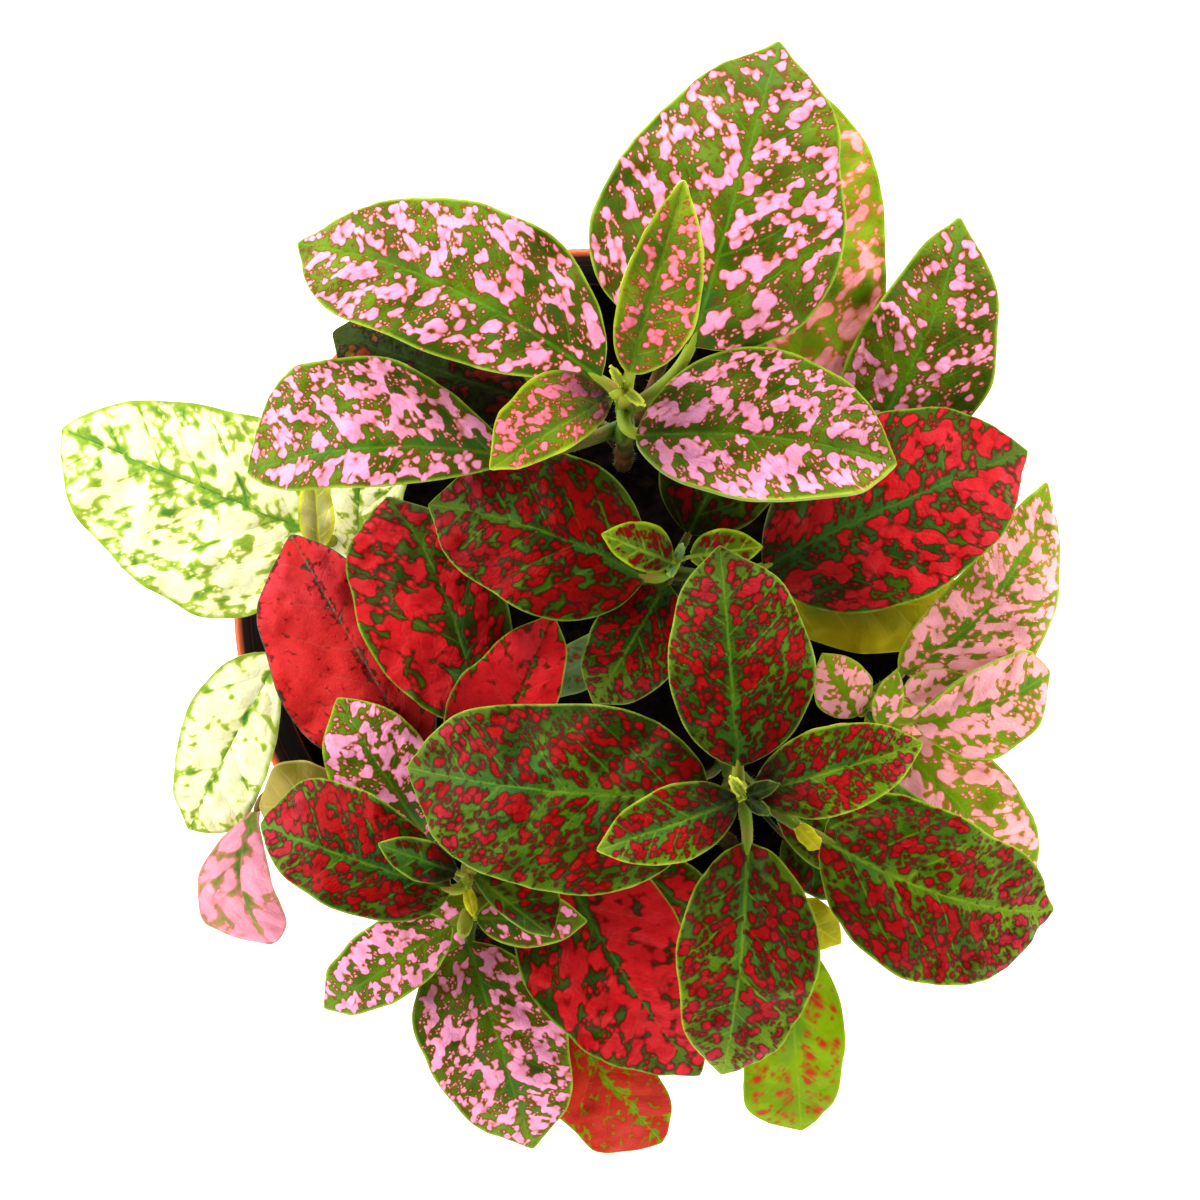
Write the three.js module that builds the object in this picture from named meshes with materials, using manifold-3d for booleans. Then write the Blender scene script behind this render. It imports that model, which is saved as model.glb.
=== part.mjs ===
import * as THREE from "three";
import { mergeVertices } from "three/addons/utils/BufferGeometryUtils.js";
import Module from "manifold-3d";

// Potted polka dot plant: a round plastic pot of soil with twelve young plants, pink, red, white
// and pale pink. Millimetres, +Z up. The origin is the centre of the pot's underside.

// Pot
const potHeight = 95;
const rimRadius = 60;
const rimLip = 1.9;
const lipDepth = 2.4;
const edgeRound = 0.6;
const wall = 1.4;
const baseRadius = 42;
const collarHeight = 14;
const collarStep = 1.6;
const footHeight = 2;
const footWidth = 6;
const padRadius = 12;
const floorThickness = 1.5;
const drainHoles = 8;
const drainRadius = 3;
const drainCircle = 25;
const drainSides = 8;
const potSides = 36;

// Soil
const soilEdge = 80.5;
const soilCrown = 84;
const fitGap = 0.35;
const stemHoleRadius = 2.3;
const stemHoleDepth = 14;
const stemHoleSides = 8;

// Stems, stalks and blades
const stemRadius = 1.7;
const stemSides = 6;
const stemSteps = 4;
const straightTop = 2;
const stalkRadius = 0.9;
const stalkSides = 5;
const stalkSteps = 3;
const stalkSunk = 0.6;
const stalkEnd = 0.06;
const bladeThickness = 0.7;
const endHalfWidth = 0.5;
const bladeColumns = 4;
const bladeRows = (length) => (length > 42 ? 7 : length > 28 ? 6 : length > 14 ? 5 : 4);
const rippleTurns = 2.5;
const rippleShift = 2;

// Colours
const terracotta = 0xc8602a;
const peat = 0x16100c;
const pinkLeaf = 0xd58aa0;
const redLeaf = 0xb02026;
const whiteLeaf = 0xe4efb8;
const paleLeaf = 0xf0a4b4;
const greenLeaf = 0x7f9f10;

// Each plant stands with its foot at x, y and its crown at x, y, z. Each of its leaves has the height
// at which its stalk leaves the stem, the blade's foot and tip, and the half widths left and right of
// the midrib, seen along the leaf from above. Then come arch, the rise of the midrib over the straight
// line; bow, its swing to the left; fold, the slope of the two halves up from the midrib; curl, the drop
// at the margins; wide, where along the blade it is widest, for both halves or for each; and sharp, from
// blunt at 1.1 to pointed at 1.6.
const plants = [
  {
    name: "plant_pink_back",
    colour: pinkLeaf,
    foot: [6, 24],
    crown: [5.8, 32, 173],
    leaves: [
      { node: 158, foot: [16, 39, 168], tip: [29.6, 86.5, 158], half: [20, 18],
        arch: 6, curl: 3, wide: [0.31, 0.36] },
      { node: 160, foot: [2, 34, 168], tip: [-45, 56, 152], half: [10.4, 14.4],
        arch: 6, bow: -3, curl: 2, wide: [0.55, 0.38] },
      { node: 161, foot: [7.5, 25.5, 168], tip: [47.5, 21.5, 160], half: [13.4, 9.7],
        arch: 3, bow: 1.8, fold: 0.12 },
      { node: 146, foot: [-11, 22.5, 158], tip: [-53.6, 20.6, 142], half: [6, 14.6],
        arch: 5, bow: -2.6, wide: [0.5, 0.58] },
      { node: 170, foot: [6.5, 34.5, 176], tip: [14.2, 61.5, 192], half: [4.7, 7.3],
        arch: 1, fold: 0.4 },
      { node: 171, foot: [3.5, 31, 176], tip: [-14.5, 20, 178], half: [3.6, 8], arch: 3, fold: 0.2 },
      { node: 134, foot: [-9, 31.5, 147], tip: [-38, 42, 138], half: [7, 6], arch: 3 },
      { node: 112, foot: [14, 44, 126], tip: [24, 74, 116], half: [10, 10], arch: 4, curl: 2 },
      { node: 108, foot: [-4, 36, 122], tip: [-24, 56, 112], half: [9, 9], arch: 4, curl: 2 },
    ],
  },
  {
    name: "plant_pink_back_right",
    colour: pinkLeaf,
    foot: [30, 24],
    crown: [35.5, 23.5, 143],
    leaves: [
      { node: 136, foot: [33, 31.5, 142], tip: [36.5, 82.5, 131], half: [12.7, 12.9],
        arch: 6, curl: 2 },
      { node: 137, foot: [43.5, 25, 142], tip: [59, 61, 140], half: [9.7, 12.5],
        arch: 5, bow: -2.2, curl: 1, wide: 0.36 },
      { node: 118, foot: [42, 29, 122], tip: [61, 42, 112], half: [8, 8], arch: 3, curl: 1 },
    ],
  },
  {
    name: "plant_red_centre",
    colour: redLeaf,
    foot: [11, 3],
    crown: [13.6, 6.4, 157],
    leaves: [
      { node: 146, foot: [9, 4, 152], tip: [-25, 15.5, 144], half: [12.8, 13.1],
        arch: 5, bow: -1.7, curl: 2 },
      { node: 140, foot: [27.5, 5.5, 152], tip: [69.5, 24, 142], half: [14.6, 15],
        arch: 6, bow: 0.9, curl: 2 },
      { node: 133, foot: [16, 11, 144], tip: [27, 34, 138], half: [9.5, 9.5], arch: 3 },
      { node: 134, foot: [12.5, 3, 145], tip: [1, -16, 138], half: [8, 6.6], arch: 4, curl: 1 },
      { node: 155, foot: [13, 6.3, 158], tip: [2.2, 10.6, 161], half: [3, 4.4], arch: 1, fold: 0.3 },
      { node: 155, foot: [16, 7.2, 158], tip: [27, 8.7, 160], half: [3.6, 2.8], arch: 1, fold: 0.3 },
      { node: 104, foot: [29.5, 0.5, 118], tip: [64, -0.5, 113], half: [6, 8.2],
        arch: 3, wide: 0.5, sharp: 1.2 },
      { node: 112, foot: [8, -5, 127], tip: [-11, -15, 122], half: [4.2, 3.8], arch: 2 },
    ],
  },
  {
    name: "plant_red_front_right",
    colour: redLeaf,
    foot: [20, -20],
    crown: [23.5, -28.7, 175],
    leaves: [
      { node: 166, foot: [22.8, -24.5, 171], tip: [20.2, 8.8, 166], half: [9.4, 12.8],
        arch: 4, curl: 2 },
      { node: 160, foot: [18.5, -29.6, 167], tip: [-28, -25.5, 151], half: [16, 13.6],
        arch: 6, bow: 1, curl: 2, sharp: 1.25 },
      { node: 159, foot: [24.5, -36.5, 165], tip: [21, -73.5, 150], half: [12.1, 9.7],
        arch: 6, bow: 0.6, curl: 2 },
      { node: 154, foot: [36, -36, 163], tip: [73, -48, 148], half: [12.4, 14],
        arch: 6, bow: -2.5, curl: 2.5, wide: [0.36, 0.45], sharp: 1.35 },
      { node: 172, foot: [22.5, -29.3, 177], tip: [1.5, -37, 175], half: [5.7, 5.7],
        arch: 3, fold: 0.2 },
      { node: 172, foot: [25, -28.2, 177], tip: [50.5, -21, 173], half: [6.7, 6.7],
        arch: 3, fold: 0.2 },
      { node: 122, foot: [30, -31, 138], tip: [58, -40, 130], half: [9, 9], arch: 4, curl: 2 },
      { node: 118, foot: [18, -28, 134], tip: [-6, -31, 124], half: [9, 9], arch: 4, curl: 2 },
    ],
  },
  {
    name: "plant_red_left",
    colour: redLeaf,
    foot: [-14, -16],
    crown: [-18, -29, 147],
    leaves: [
      { node: 134, foot: [-17.5, -19, 144], tip: [-32, 17, 134], half: [14.3, 8.9],
        arch: 5, bow: -3, curl: 2, wide: [0.5, 0.42] },
      { node: 128, foot: [-26, -25, 138], tip: [-47.7, 11, 130], half: [14.8, 8],
        arch: 4, curl: 1.5, sharp: 1.35 },
      { node: 142, foot: [-15.5, -27, 147], tip: [-5.5, -1.5, 143], half: [10, 6],
        arch: 3, wide: [0.3, 0.45] },
      { node: 112, foot: [-20, -18, 120], tip: [-32, -2, 114], half: [6.5, 6.5], arch: 3 },
    ],
  },
  {
    name: "plant_white_left",
    colour: whiteLeaf,
    foot: [-36, 12],
    crown: [-43.5, 10, 116],
    leaves: [
      { node: 109, foot: [-47, 12, 115], tip: [-87, 28.5, 110], half: [17.4, 14.3],
        arch: 4, wide: [0.38, 0.32], sharp: 1.1 },
      { node: 102, foot: [-51, -8.7, 111], tip: [-67, -38, 100], half: [7.8, 9.2],
        arch: 4, fold: 0.1, wide: [0.6, 0.38] },
      { node: 113, foot: [-44, 10.5, 117], tip: [-45, 21.5, 121], half: [2.3, 2.3],
        arch: 1, fold: 0.5 },
      { node: 104, foot: [-38.5, 4, 112], tip: [-37.5, 23, 114], half: [4.8, 5], arch: 1, fold: 0.2 },
      { node: 96, foot: [-46, 12, 104], tip: [-66, 20, 101], half: [7, 7], arch: 3 },
    ],
  },
  {
    name: "plant_pink_left_front",
    colour: pinkLeaf,
    foot: [-34, -28],
    crown: [-36.5, -32, 123],
    leaves: [
      { node: 119, foot: [-38.5, -33.4, 124], tip: [-53.8, -33.2, 118], half: [5, 7.6],
        arch: 2, wide: 0.5, sharp: 1.1 },
      { node: 97, foot: [-55.9, -37.4, 106], tip: [-53.5, -57.6, 97], half: [5.3, 7.7],
        arch: 1, bow: -3.7, wide: 0.6, sharp: 1.1 },
    ],
  },
  {
    name: "plant_red_front_left",
    colour: redLeaf,
    foot: [-17, -34],
    crown: [-19, -43.5, 148],
    leaves: [
      { node: 140, foot: [-21.5, -45, 147.5], tip: [-52, -35, 137], half: [8.3, 10.5],
        arch: 5, curl: 0.5, wide: [0.4, 0.52], sharp: 1.25 },
      { node: 146, foot: [-20.5, -42, 150], tip: [-32.5, -37.3, 152], half: [3.3, 3.3],
        arch: 1, fold: 0.2 },
      { node: 144, foot: [-17.5, -42.5, 148], tip: [-5.7, -52.2, 146], half: [6.3, 2.2],
        arch: 1, wide: [0.6, 0.5] },
    ],
  },
  {
    name: "plant_pink_front",
    colour: pinkLeaf,
    foot: [-12, -45],
    crown: [-19.5, -50.5, 137],
    leaves: [
      { node: 124, foot: [-25, -38.5, 133.5], tip: [-39.5, -15, 140.5], half: [8.7, 8.4],
        arch: 4, curl: 1, wide: 0.45 },
      { node: 126, foot: [-22, -51.5, 132], tip: [-43, -66, 120], half: [5.6, 7.1], arch: 3, curl: 1 },
      { node: 116, foot: [-19.3, -55, 124], tip: [-9, -90, 112], half: [11.3, 12.8],
        arch: 5, curl: 2, wide: [0.45, 0.36] },
      { node: 132, foot: [-17.5, -50, 138], tip: [0, -50.3, 140], half: [4.4, 4.4], arch: 1 },
      { node: 98, foot: [-17, -49, 108], tip: [-30, -61, 102], half: [5.5, 5.5], arch: 3 },
    ],
  },
  {
    name: "plant_red_front",
    colour: redLeaf,
    foot: [2, -38],
    crown: [-4, -38, 137],
    leaves: [
      { node: 130, foot: [-4, -42, 135], tip: [18.2, -76.6, 124], half: [14, 14.4],
        arch: 5, bow: -1.1, wide: 0.34, sharp: 1.15 },
      { node: 100, foot: [-8.5, -63.5, 115], tip: [12.3, -89.7, 107], half: [7, 10.3],
        arch: 3, wide: 0.5, sharp: 1.15 },
      { node: 98, foot: [7, -43, 108], tip: [23, -56, 102], half: [6, 6], arch: 3, curl: 1 },
    ],
  },
  {
    name: "plant_green_front",
    colour: greenLeaf,
    foot: [24, -41],
    crown: [29, -48, 129],
    leaves: [
      { node: 122, foot: [32, -55, 127], tip: [35, -86.5, 116], half: [8.1, 8.6],
        arch: 4, curl: 1, wide: [0.42, 0.6], sharp: 1.2 },
      { node: 124, foot: [32, -49, 130], tip: [41, -55, 126], half: [4, 4], arch: 1 },
      { node: 98, foot: [28, -46, 108], tip: [30.5, -66, 104], half: [6, 6], arch: 3 },
    ],
  },
  {
    name: "plant_pale_pink_right",
    colour: paleLeaf,
    foot: [38, -12],
    crown: [47.5, -16.7, 134],
    leaves: [
      { node: 126, foot: [50.5, -11, 130], tip: [74.5, 19.5, 124], half: [6.8, 11.5],
        arch: 5, bow: -4.4, wide: [0.4, 0.33] },
      { node: 130, foot: [52, -19, 134], tip: [74.5, -11, 127], half: [8, 8.3],
        arch: 3, bow: -1.5, fold: 0.15 },
      { node: 122, foot: [50, -22.5, 128], tip: [73, -45.5, 118], half: [8.9, 8.1], arch: 4, curl: 1 },
      { node: 128, foot: [43.5, -18, 131], tip: [37.5, -8, 133], half: [4.8, 4.8], arch: 1 },
      { node: 132, foot: [46.8, -19.5, 136], tip: [49, -10.5, 140], half: [2.4, 2.4],
        arch: 0.5, fold: 0.3 },
      { node: 129, foot: [50.5, -15, 132], tip: [62, -10.5, 130.5], half: [2.6, 3], arch: 0.5 },
      { node: 104, foot: [46, -18, 114], tip: [63, -30, 108], half: [6.5, 6.5], arch: 3 },
    ],
  },
];

const wasm = await Module();
wasm.setup();

const up = new THREE.Vector3(0, 0, 1);
const vector = (point) => new THREE.Vector3(...point);

function solidOf(geometry) {
  geometry.deleteAttribute("normal");
  geometry.deleteAttribute("uv");
  const merged = mergeVertices(geometry, 1e-4);
  return new wasm.Manifold(
    new wasm.Mesh({
      numProp: 3,
      vertProperties: new Float32Array(merged.attributes.position.array),
      triVerts: new Uint32Array(merged.index.array),
    }),
  );
}

function meshOf(solid, name, colour, roughness) {
  const data = solid.getMesh();
  const geometry = new THREE.BufferGeometry();
  geometry.setAttribute("position", new THREE.BufferAttribute(new Float32Array(data.vertProperties), 3));
  geometry.setIndex(new THREE.BufferAttribute(new Uint32Array(data.triVerts), 1));
  geometry.computeVertexNormals();
  const material = new THREE.MeshStandardMaterial({ color: colour, roughness, metalness: 0 });
  const mesh = new THREE.Mesh(geometry, material);
  mesh.name = name;
  return mesh;
}

// A round bar along a curve, closed at both ends.
function bar(curve, radius, sides, steps) {
  const section = new THREE.Shape();
  for (let i = 0; i < sides; i += 1) {
    const angle = (i / sides) * 2 * Math.PI;
    const corner = [radius * Math.cos(angle), radius * Math.sin(angle)];
    if (i === 0) section.moveTo(...corner);
    else section.lineTo(...corner);
  }
  return solidOf(new THREE.ExtrudeGeometry(section, { steps, extrudePath: curve, bevelEnabled: false }));
}

// An upright cylinder between two heights.
function post(x, y, bottom, top, radius, sides) {
  const geometry = new THREE.CylinderGeometry(radius, radius, top - bottom, sides);
  geometry.rotateX(Math.PI / 2);
  geometry.translate(x, y, (bottom + top) / 2);
  return solidOf(geometry);
}

function turned(profile, sides) {
  const geometry = new THREE.LatheGeometry(profile.map(([r, z]) => new THREE.Vector2(r, z)), sides);
  geometry.rotateX(Math.PI / 2);
  return solidOf(geometry);
}

// Pot: a tapered wall under a wider collar with a rounded lip, on a foot ring and a centre pad.
const collarBottom = potHeight - collarHeight;
const bodyTopRadius = rimRadius - rimLip - collarStep;
const slope = (bodyTopRadius - baseRadius) / collarBottom;
const innerRadius = (z) => baseRadius - wall + slope * z;

function pot() {
  const floorTop = footHeight + floorThickness;
  const footInner = baseRadius - footWidth;
  const collarOuter = rimRadius - rimLip;
  const collarInner = collarOuter - wall;
  const profile = [
    [0, 0],
    [padRadius, 0],
    [padRadius, footHeight],
    [footInner, footHeight],
    [footInner, 0],
    [baseRadius - edgeRound, 0],
    [baseRadius, edgeRound],
    [bodyTopRadius, collarBottom - edgeRound],
    [collarOuter - edgeRound, collarBottom],
    [collarOuter, collarBottom + edgeRound],
    [collarOuter, potHeight - lipDepth],
    [rimRadius, potHeight - lipDepth + edgeRound],
    [rimRadius, potHeight - edgeRound],
    [rimRadius - edgeRound, potHeight],
    [collarOuter, potHeight],
    [collarInner, potHeight - edgeRound],
    [collarInner, collarBottom + wall + edgeRound],
    [innerRadius(collarBottom), collarBottom],
    [innerRadius(floorTop), floorTop],
    [0, floorTop],
  ];
  let body = turned(profile, potSides);
  for (let i = 0; i < drainHoles; i += 1) {
    const angle = ((i + 0.5) / drainHoles) * 2 * Math.PI;
    const [x, y] = [drainCircle * Math.cos(angle), drainCircle * Math.sin(angle)];
    body = body.subtract(post(x, y, 0, potHeight, drainRadius, drainSides));
  }
  return meshOf(body, "pot", terracotta, 0.42);
}

// Soil: fills the pot with a low crown, and holds each stem's foot in a plain hole.
const soilHeight = (x, y) => {
  const outward = Math.hypot(x, y) / innerRadius(soilEdge);
  return soilCrown - (soilCrown - soilEdge) * outward ** 2;
};

function soil() {
  const bottom = footHeight + floorThickness + fitGap;
  const edge = innerRadius(soilEdge - edgeRound) - fitGap;
  const profile = [
    [0, bottom],
    [innerRadius(bottom) - fitGap, bottom],
    [edge, soilEdge - edgeRound],
    [edge - edgeRound, soilEdge],
    [edge / 2, soilHeight(edge / 2, 0)],
    [0, soilCrown],
  ];
  let body = turned(profile, potSides);
  for (const { foot } of plants) {
    const bottomOfHole = soilHeight(...foot) - stemHoleDepth;
    body = body.subtract(post(...foot, bottomOfHole, potHeight, stemHoleRadius, stemHoleSides));
  }
  return meshOf(body, "soil", peat, 0.95);
}

// A stem rises straight out of its hole and then leans to the crown.
function stemCurve({ foot, crown }) {
  const start = new THREE.Vector3(...foot, soilHeight(...foot) - straightTop);
  const end = vector(crown);
  const middle = new THREE.Vector3(...foot, (start.z + end.z) / 2);
  return new THREE.QuadraticBezierCurve3(start, middle, end);
}

function stemPointAt(curve, height) {
  const reach = (height - curve.v0.z) / (curve.v2.z - curve.v0.z);
  return curve.getPoint(reach);
}

// The axes of a blade: along it, to its left, and out of its upper face.
function bladeAxes(leaf) {
  const foot = vector(leaf.foot);
  const along = vector(leaf.tip).sub(foot);
  const length = along.length();
  along.normalize();
  const left = up.clone().cross(along).normalize();
  const out = along.clone().cross(left);
  return { foot, along, left, out, length };
}

// The half width at u along the blade, as a share of the widest.
function outline(u, wide, sharp) {
  const rise = sharp * wide;
  const fall = sharp - rise;
  return (u ** rise * (1 - u) ** fall) / (wide ** rise * (1 - wide) ** fall);
}

// A point of the blade's middle surface. u runs from foot to tip, v from -1, right, to 1, left.
function bladePoint(leaf, axes, u, v) {
  const { arch = 0, bow = 0, fold = 0, curl = 1, wide = 0.42, sharp = 1.5, ripple = 0.5 } = leaf;
  const side = v > 0 ? 0 : 1;
  const share = outline(u, wide[side] ?? wide, sharp);
  const half = Math.max(leaf.half[side] * share, endHalfWidth);
  const hump = 4 * u * (1 - u);
  const wave = ripple * Math.sin(2 * Math.PI * rippleTurns * u + (v > 0 ? 0 : rippleShift)) * v * v * share;
  const lift = arch * hump + fold * half * Math.abs(v) - curl * v * v * share + wave;
  return axes.foot
    .clone()
    .addScaledVector(axes.along, u * axes.length)
    .addScaledVector(axes.left, bow * hump + half * v)
    .addScaledVector(axes.out, lift);
}

function bladeNormal(leaf, axes, u, v) {
  const step = 0.02;
  const [u0, u1] = [Math.max(u - step, 0), Math.min(u + step, 1)];
  const [v0, v1] = [Math.max(v - step, -1), Math.min(v + step, 1)];
  const alongU = bladePoint(leaf, axes, u1, v).sub(bladePoint(leaf, axes, u0, v));
  const alongV = bladePoint(leaf, axes, u, v1).sub(bladePoint(leaf, axes, u, v0));
  return alongU.cross(alongV).normalize();
}

// A blade of even thickness, split into the same triangles above and below.
function blade(leaf) {
  const axes = bladeAxes(leaf);
  const rows = bladeRows(axes.length);
  const columns = bladeColumns;
  const positions = [];
  for (const face of [0.5, -0.5]) {
    for (let i = 0; i <= rows; i += 1) {
      const even = i / rows;
      const u = (even + (1 - Math.cos(Math.PI * even)) / 2) / 2;
      for (let j = 0; j <= columns; j += 1) {
        const v = (2 * j) / columns - 1;
        const normal = bladeNormal(leaf, axes, u, v);
        const point = bladePoint(leaf, axes, u, v).addScaledVector(normal, face * bladeThickness);
        positions.push(...point);
      }
    }
  }
  const above = (i, j) => i * (columns + 1) + j;
  const under = (rows + 1) * (columns + 1);
  const faces = [];
  for (let i = 0; i < rows; i += 1) {
    for (let j = 0; j < columns; j += 1) {
      const [a, b, c, d] = [above(i, j), above(i + 1, j), above(i + 1, j + 1), above(i, j + 1)];
      const split = j < columns / 2 ? [[a, b, c], [a, c, d]] : [[a, b, d], [b, c, d]];
      for (const [p, q, r] of split) {
        faces.push(p, q, r, p + under, r + under, q + under);
      }
    }
  }
  const border = [];
  for (let i = 0; i < rows; i += 1) border.push(above(i, 0));
  for (let j = 0; j < columns; j += 1) border.push(above(rows, j));
  for (let i = rows; i > 0; i -= 1) border.push(above(i, columns));
  for (let j = columns; j > 0; j -= 1) border.push(above(0, j));
  border.forEach((p, i) => {
    const q = border[(i + 1) % border.length];
    faces.push(q, p, p + under, q, p + under, q + under);
  });
  const geometry = new THREE.BufferGeometry();
  geometry.setAttribute("position", new THREE.Float32BufferAttribute(positions, 3));
  geometry.setIndex(faces);
  return solidOf(geometry);
}

// A stalk from the stem out to the blade's foot, sunk into the blade's underside along the midrib.
function stalk(leaf, curve) {
  const axes = bladeAxes(leaf);
  const start = stemPointAt(curve, leaf.node);
  const end = bladePoint(leaf, axes, stalkEnd, 0).addScaledVector(axes.out, -stalkSunk);
  const joint = bladePoint(leaf, axes, 0, 0).addScaledVector(axes.out, -stalkSunk);
  const before = joint.clone().addScaledVector(axes.along, -0.35 * joint.distanceTo(start));
  const path = new THREE.CubicBezierCurve3(start, before, joint, end);
  return bar(path, stalkRadius, stalkSides, stalkSteps);
}

function leafyPlant(plant) {
  const curve = stemCurve(plant);
  const [x, y] = plant.foot;
  const root = soilHeight(x, y) - stemHoleDepth + fitGap;
  const pieces = [
    post(x, y, root, curve.v0.z + straightTop, stemRadius, stemSides),
    bar(curve, stemRadius, stemSides, stemSteps),
  ];
  for (const leaf of plant.leaves) {
    pieces.push(stalk(leaf, curve), blade(leaf));
  }
  const whole = pieces.reduce((joined, piece) => joined.add(piece));
  return meshOf(whole, plant.name, plant.colour, 0.5);
}

const pottedPlant = new THREE.Group();
pottedPlant.add(pot(), soil(), ...plants.map(leafyPlant));

export default pottedPlant;
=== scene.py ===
import math
from functools import partial

import bpy
import numpy as np
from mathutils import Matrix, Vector, noise


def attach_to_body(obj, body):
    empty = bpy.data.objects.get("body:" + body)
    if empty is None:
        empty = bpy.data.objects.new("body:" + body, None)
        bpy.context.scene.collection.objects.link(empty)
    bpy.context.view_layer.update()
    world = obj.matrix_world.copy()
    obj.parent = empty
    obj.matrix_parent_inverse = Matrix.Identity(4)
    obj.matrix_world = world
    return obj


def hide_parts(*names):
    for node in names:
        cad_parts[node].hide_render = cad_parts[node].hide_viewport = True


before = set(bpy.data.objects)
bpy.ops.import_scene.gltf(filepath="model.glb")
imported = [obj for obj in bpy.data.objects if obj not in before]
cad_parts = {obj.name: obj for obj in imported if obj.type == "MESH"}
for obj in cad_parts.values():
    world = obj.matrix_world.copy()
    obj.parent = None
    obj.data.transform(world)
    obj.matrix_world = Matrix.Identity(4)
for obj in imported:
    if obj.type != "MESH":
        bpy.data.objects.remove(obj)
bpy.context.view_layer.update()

mm = 0.001


# Helpers
def linear(hexValue):
    # sRGB hex to the linear colour that the shaders take
    channels = [int(hexValue[i:i + 2], 16) / 255 for i in (1, 3, 5)]
    straight = [c / 12.92 if c <= 0.04045 else ((c + 0.055) / 1.055) ** 2.4 for c in channels]
    return (*straight, 1)


def inMetres(*lengths):
    return [length * mm for length in lengths]


def unit(vector):
    return vector / np.linalg.norm(vector)


def bezier(controls, t):
    # a curve through the first and last of its control points, of any order
    t = np.asarray(t)[:, None]
    points = [np.asarray(c, float) for c in controls]
    while len(points) > 1:
        points = [a * (1 - t) + b * t for a, b in zip(points, points[1:])]
    return points[0]


def setInputs(tree, node, inputs):
    # an input is a plain value or a socket to link
    pairs = inputs.items() if isinstance(inputs, dict) else enumerate(inputs)
    for key, value in pairs:
        if isinstance(value, bpy.types.NodeSocket):
            tree.links.new(value, node.inputs[key])
        else:
            node.inputs[key].default_value = value


def addNode(tree, kind, inputs=(), **settings):
    # one node with its settings and links; gives its outputs
    node = tree.nodes.new("ShaderNode" + kind)
    for name, value in settings.items():
        setattr(node, name, value)
    setInputs(tree, node, inputs)
    return node.outputs


def newMaterial(name):
    # gives the material, what adds a node to it and what sets the inputs of its shader
    material = bpy.data.materials.new(name)
    material.use_nodes = True
    tree = material.node_tree
    return material, partial(addNode, tree), partial(setInputs, tree, tree.nodes["Principled BSDF"])


def clearSelection():
    bpy.ops.object.select_all(action="DESELECT")


def activeMesh(name):
    # names the object that an operator has just made
    made = bpy.context.active_object
    made.name = name
    made.data.name = name
    return made


def settle(piece, angle):
    # puts the object at the origin with its place in its mesh, and smooths it
    clearSelection()
    piece.select_set(True)
    bpy.context.view_layer.objects.active = piece
    bpy.ops.object.transform_apply(location=True, rotation=True, scale=True)
    bpy.ops.object.shade_smooth_by_angle(angle=math.radians(angle))
    piece.select_set(False)


def joinPieces(parts, name):
    clearSelection()
    for part in parts:
        part.select_set(True)
    bpy.context.view_layer.objects.active = parts[0]
    bpy.ops.object.join()
    return activeMesh(name)


def attach(piece, node, material):
    # the piece rides on the one body, stands for its CAD node and takes its material
    piece.data.materials.clear()
    piece.data.materials.append(material)
    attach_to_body(piece, "root")
    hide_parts(node)


def putPoints(mesh, points):
    mesh.vertices.foreach_set("co", (points * mm).astype(np.float32).ravel())
    mesh.update()


def getPoints(mesh):
    flat = np.empty(len(mesh.vertices) * 3, np.float32)
    mesh.vertices.foreach_get("co", flat)
    return flat.reshape(-1, 3).astype(float)


def putAttribute(mesh, name, values):
    layer = mesh.attributes.new(name, "FLOAT_VECTOR", "POINT")
    layer.data.foreach_set("vector", values.astype(np.float32).ravel())


def takeShape():
    # the points and faces of the object that an operator has just made, to be copied many times
    made = bpy.context.active_object
    points = getPoints(made.data)
    faces = np.array([list(face.vertices) for face in made.data.polygons])
    bpy.data.objects.remove(made)
    return points, faces


def copiesPiece(name, pointLists, faces):
    # one object of many copies of a shape, each with its own points in mm
    count = len(pointLists[0])
    allFaces = np.vstack([faces + count * i for i in range(len(pointLists))])
    mesh = bpy.data.meshes.new(name)
    mesh.from_pydata((np.vstack(pointLists) * mm).tolist(), [], allFaces.tolist())
    piece = bpy.data.objects.new(name, mesh)
    bpy.context.scene.collection.objects.link(piece)
    return piece


# Camera, light and floor
view = {
    "eye": (2.0, 0.5, 795),        # mm, straight above the pot, a little right of its middle
    "angle": 16.49,                # degrees across the square picture
    "floorColour": "#f8f8f6", "floorRoughness": 0.9,
    "floorSize": 6,                # m
    "floorGlow": 0.55,             # the floor is a white light table, so hardly any shadow shows on it
    "skyStrength": 0.14,
    "tentEdge": (0.1, 0.5),        # between these the white walls of the light tent turn into dim sky
    "contrast": "Medium High Contrast",
    # soft boxes around the plant: place in mm and power in watts
    "boxSize": 560, "aim": (0, 0, 120),
    "boxes": {
        "left": ((-780, 120, 520), 6.4),
        "back": ((-60, 820, 540), 7.4),
        "right": ((800, 60, 480), 4.6),
        "front": ((60, -800, 440), 3.6),
    },
}


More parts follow.
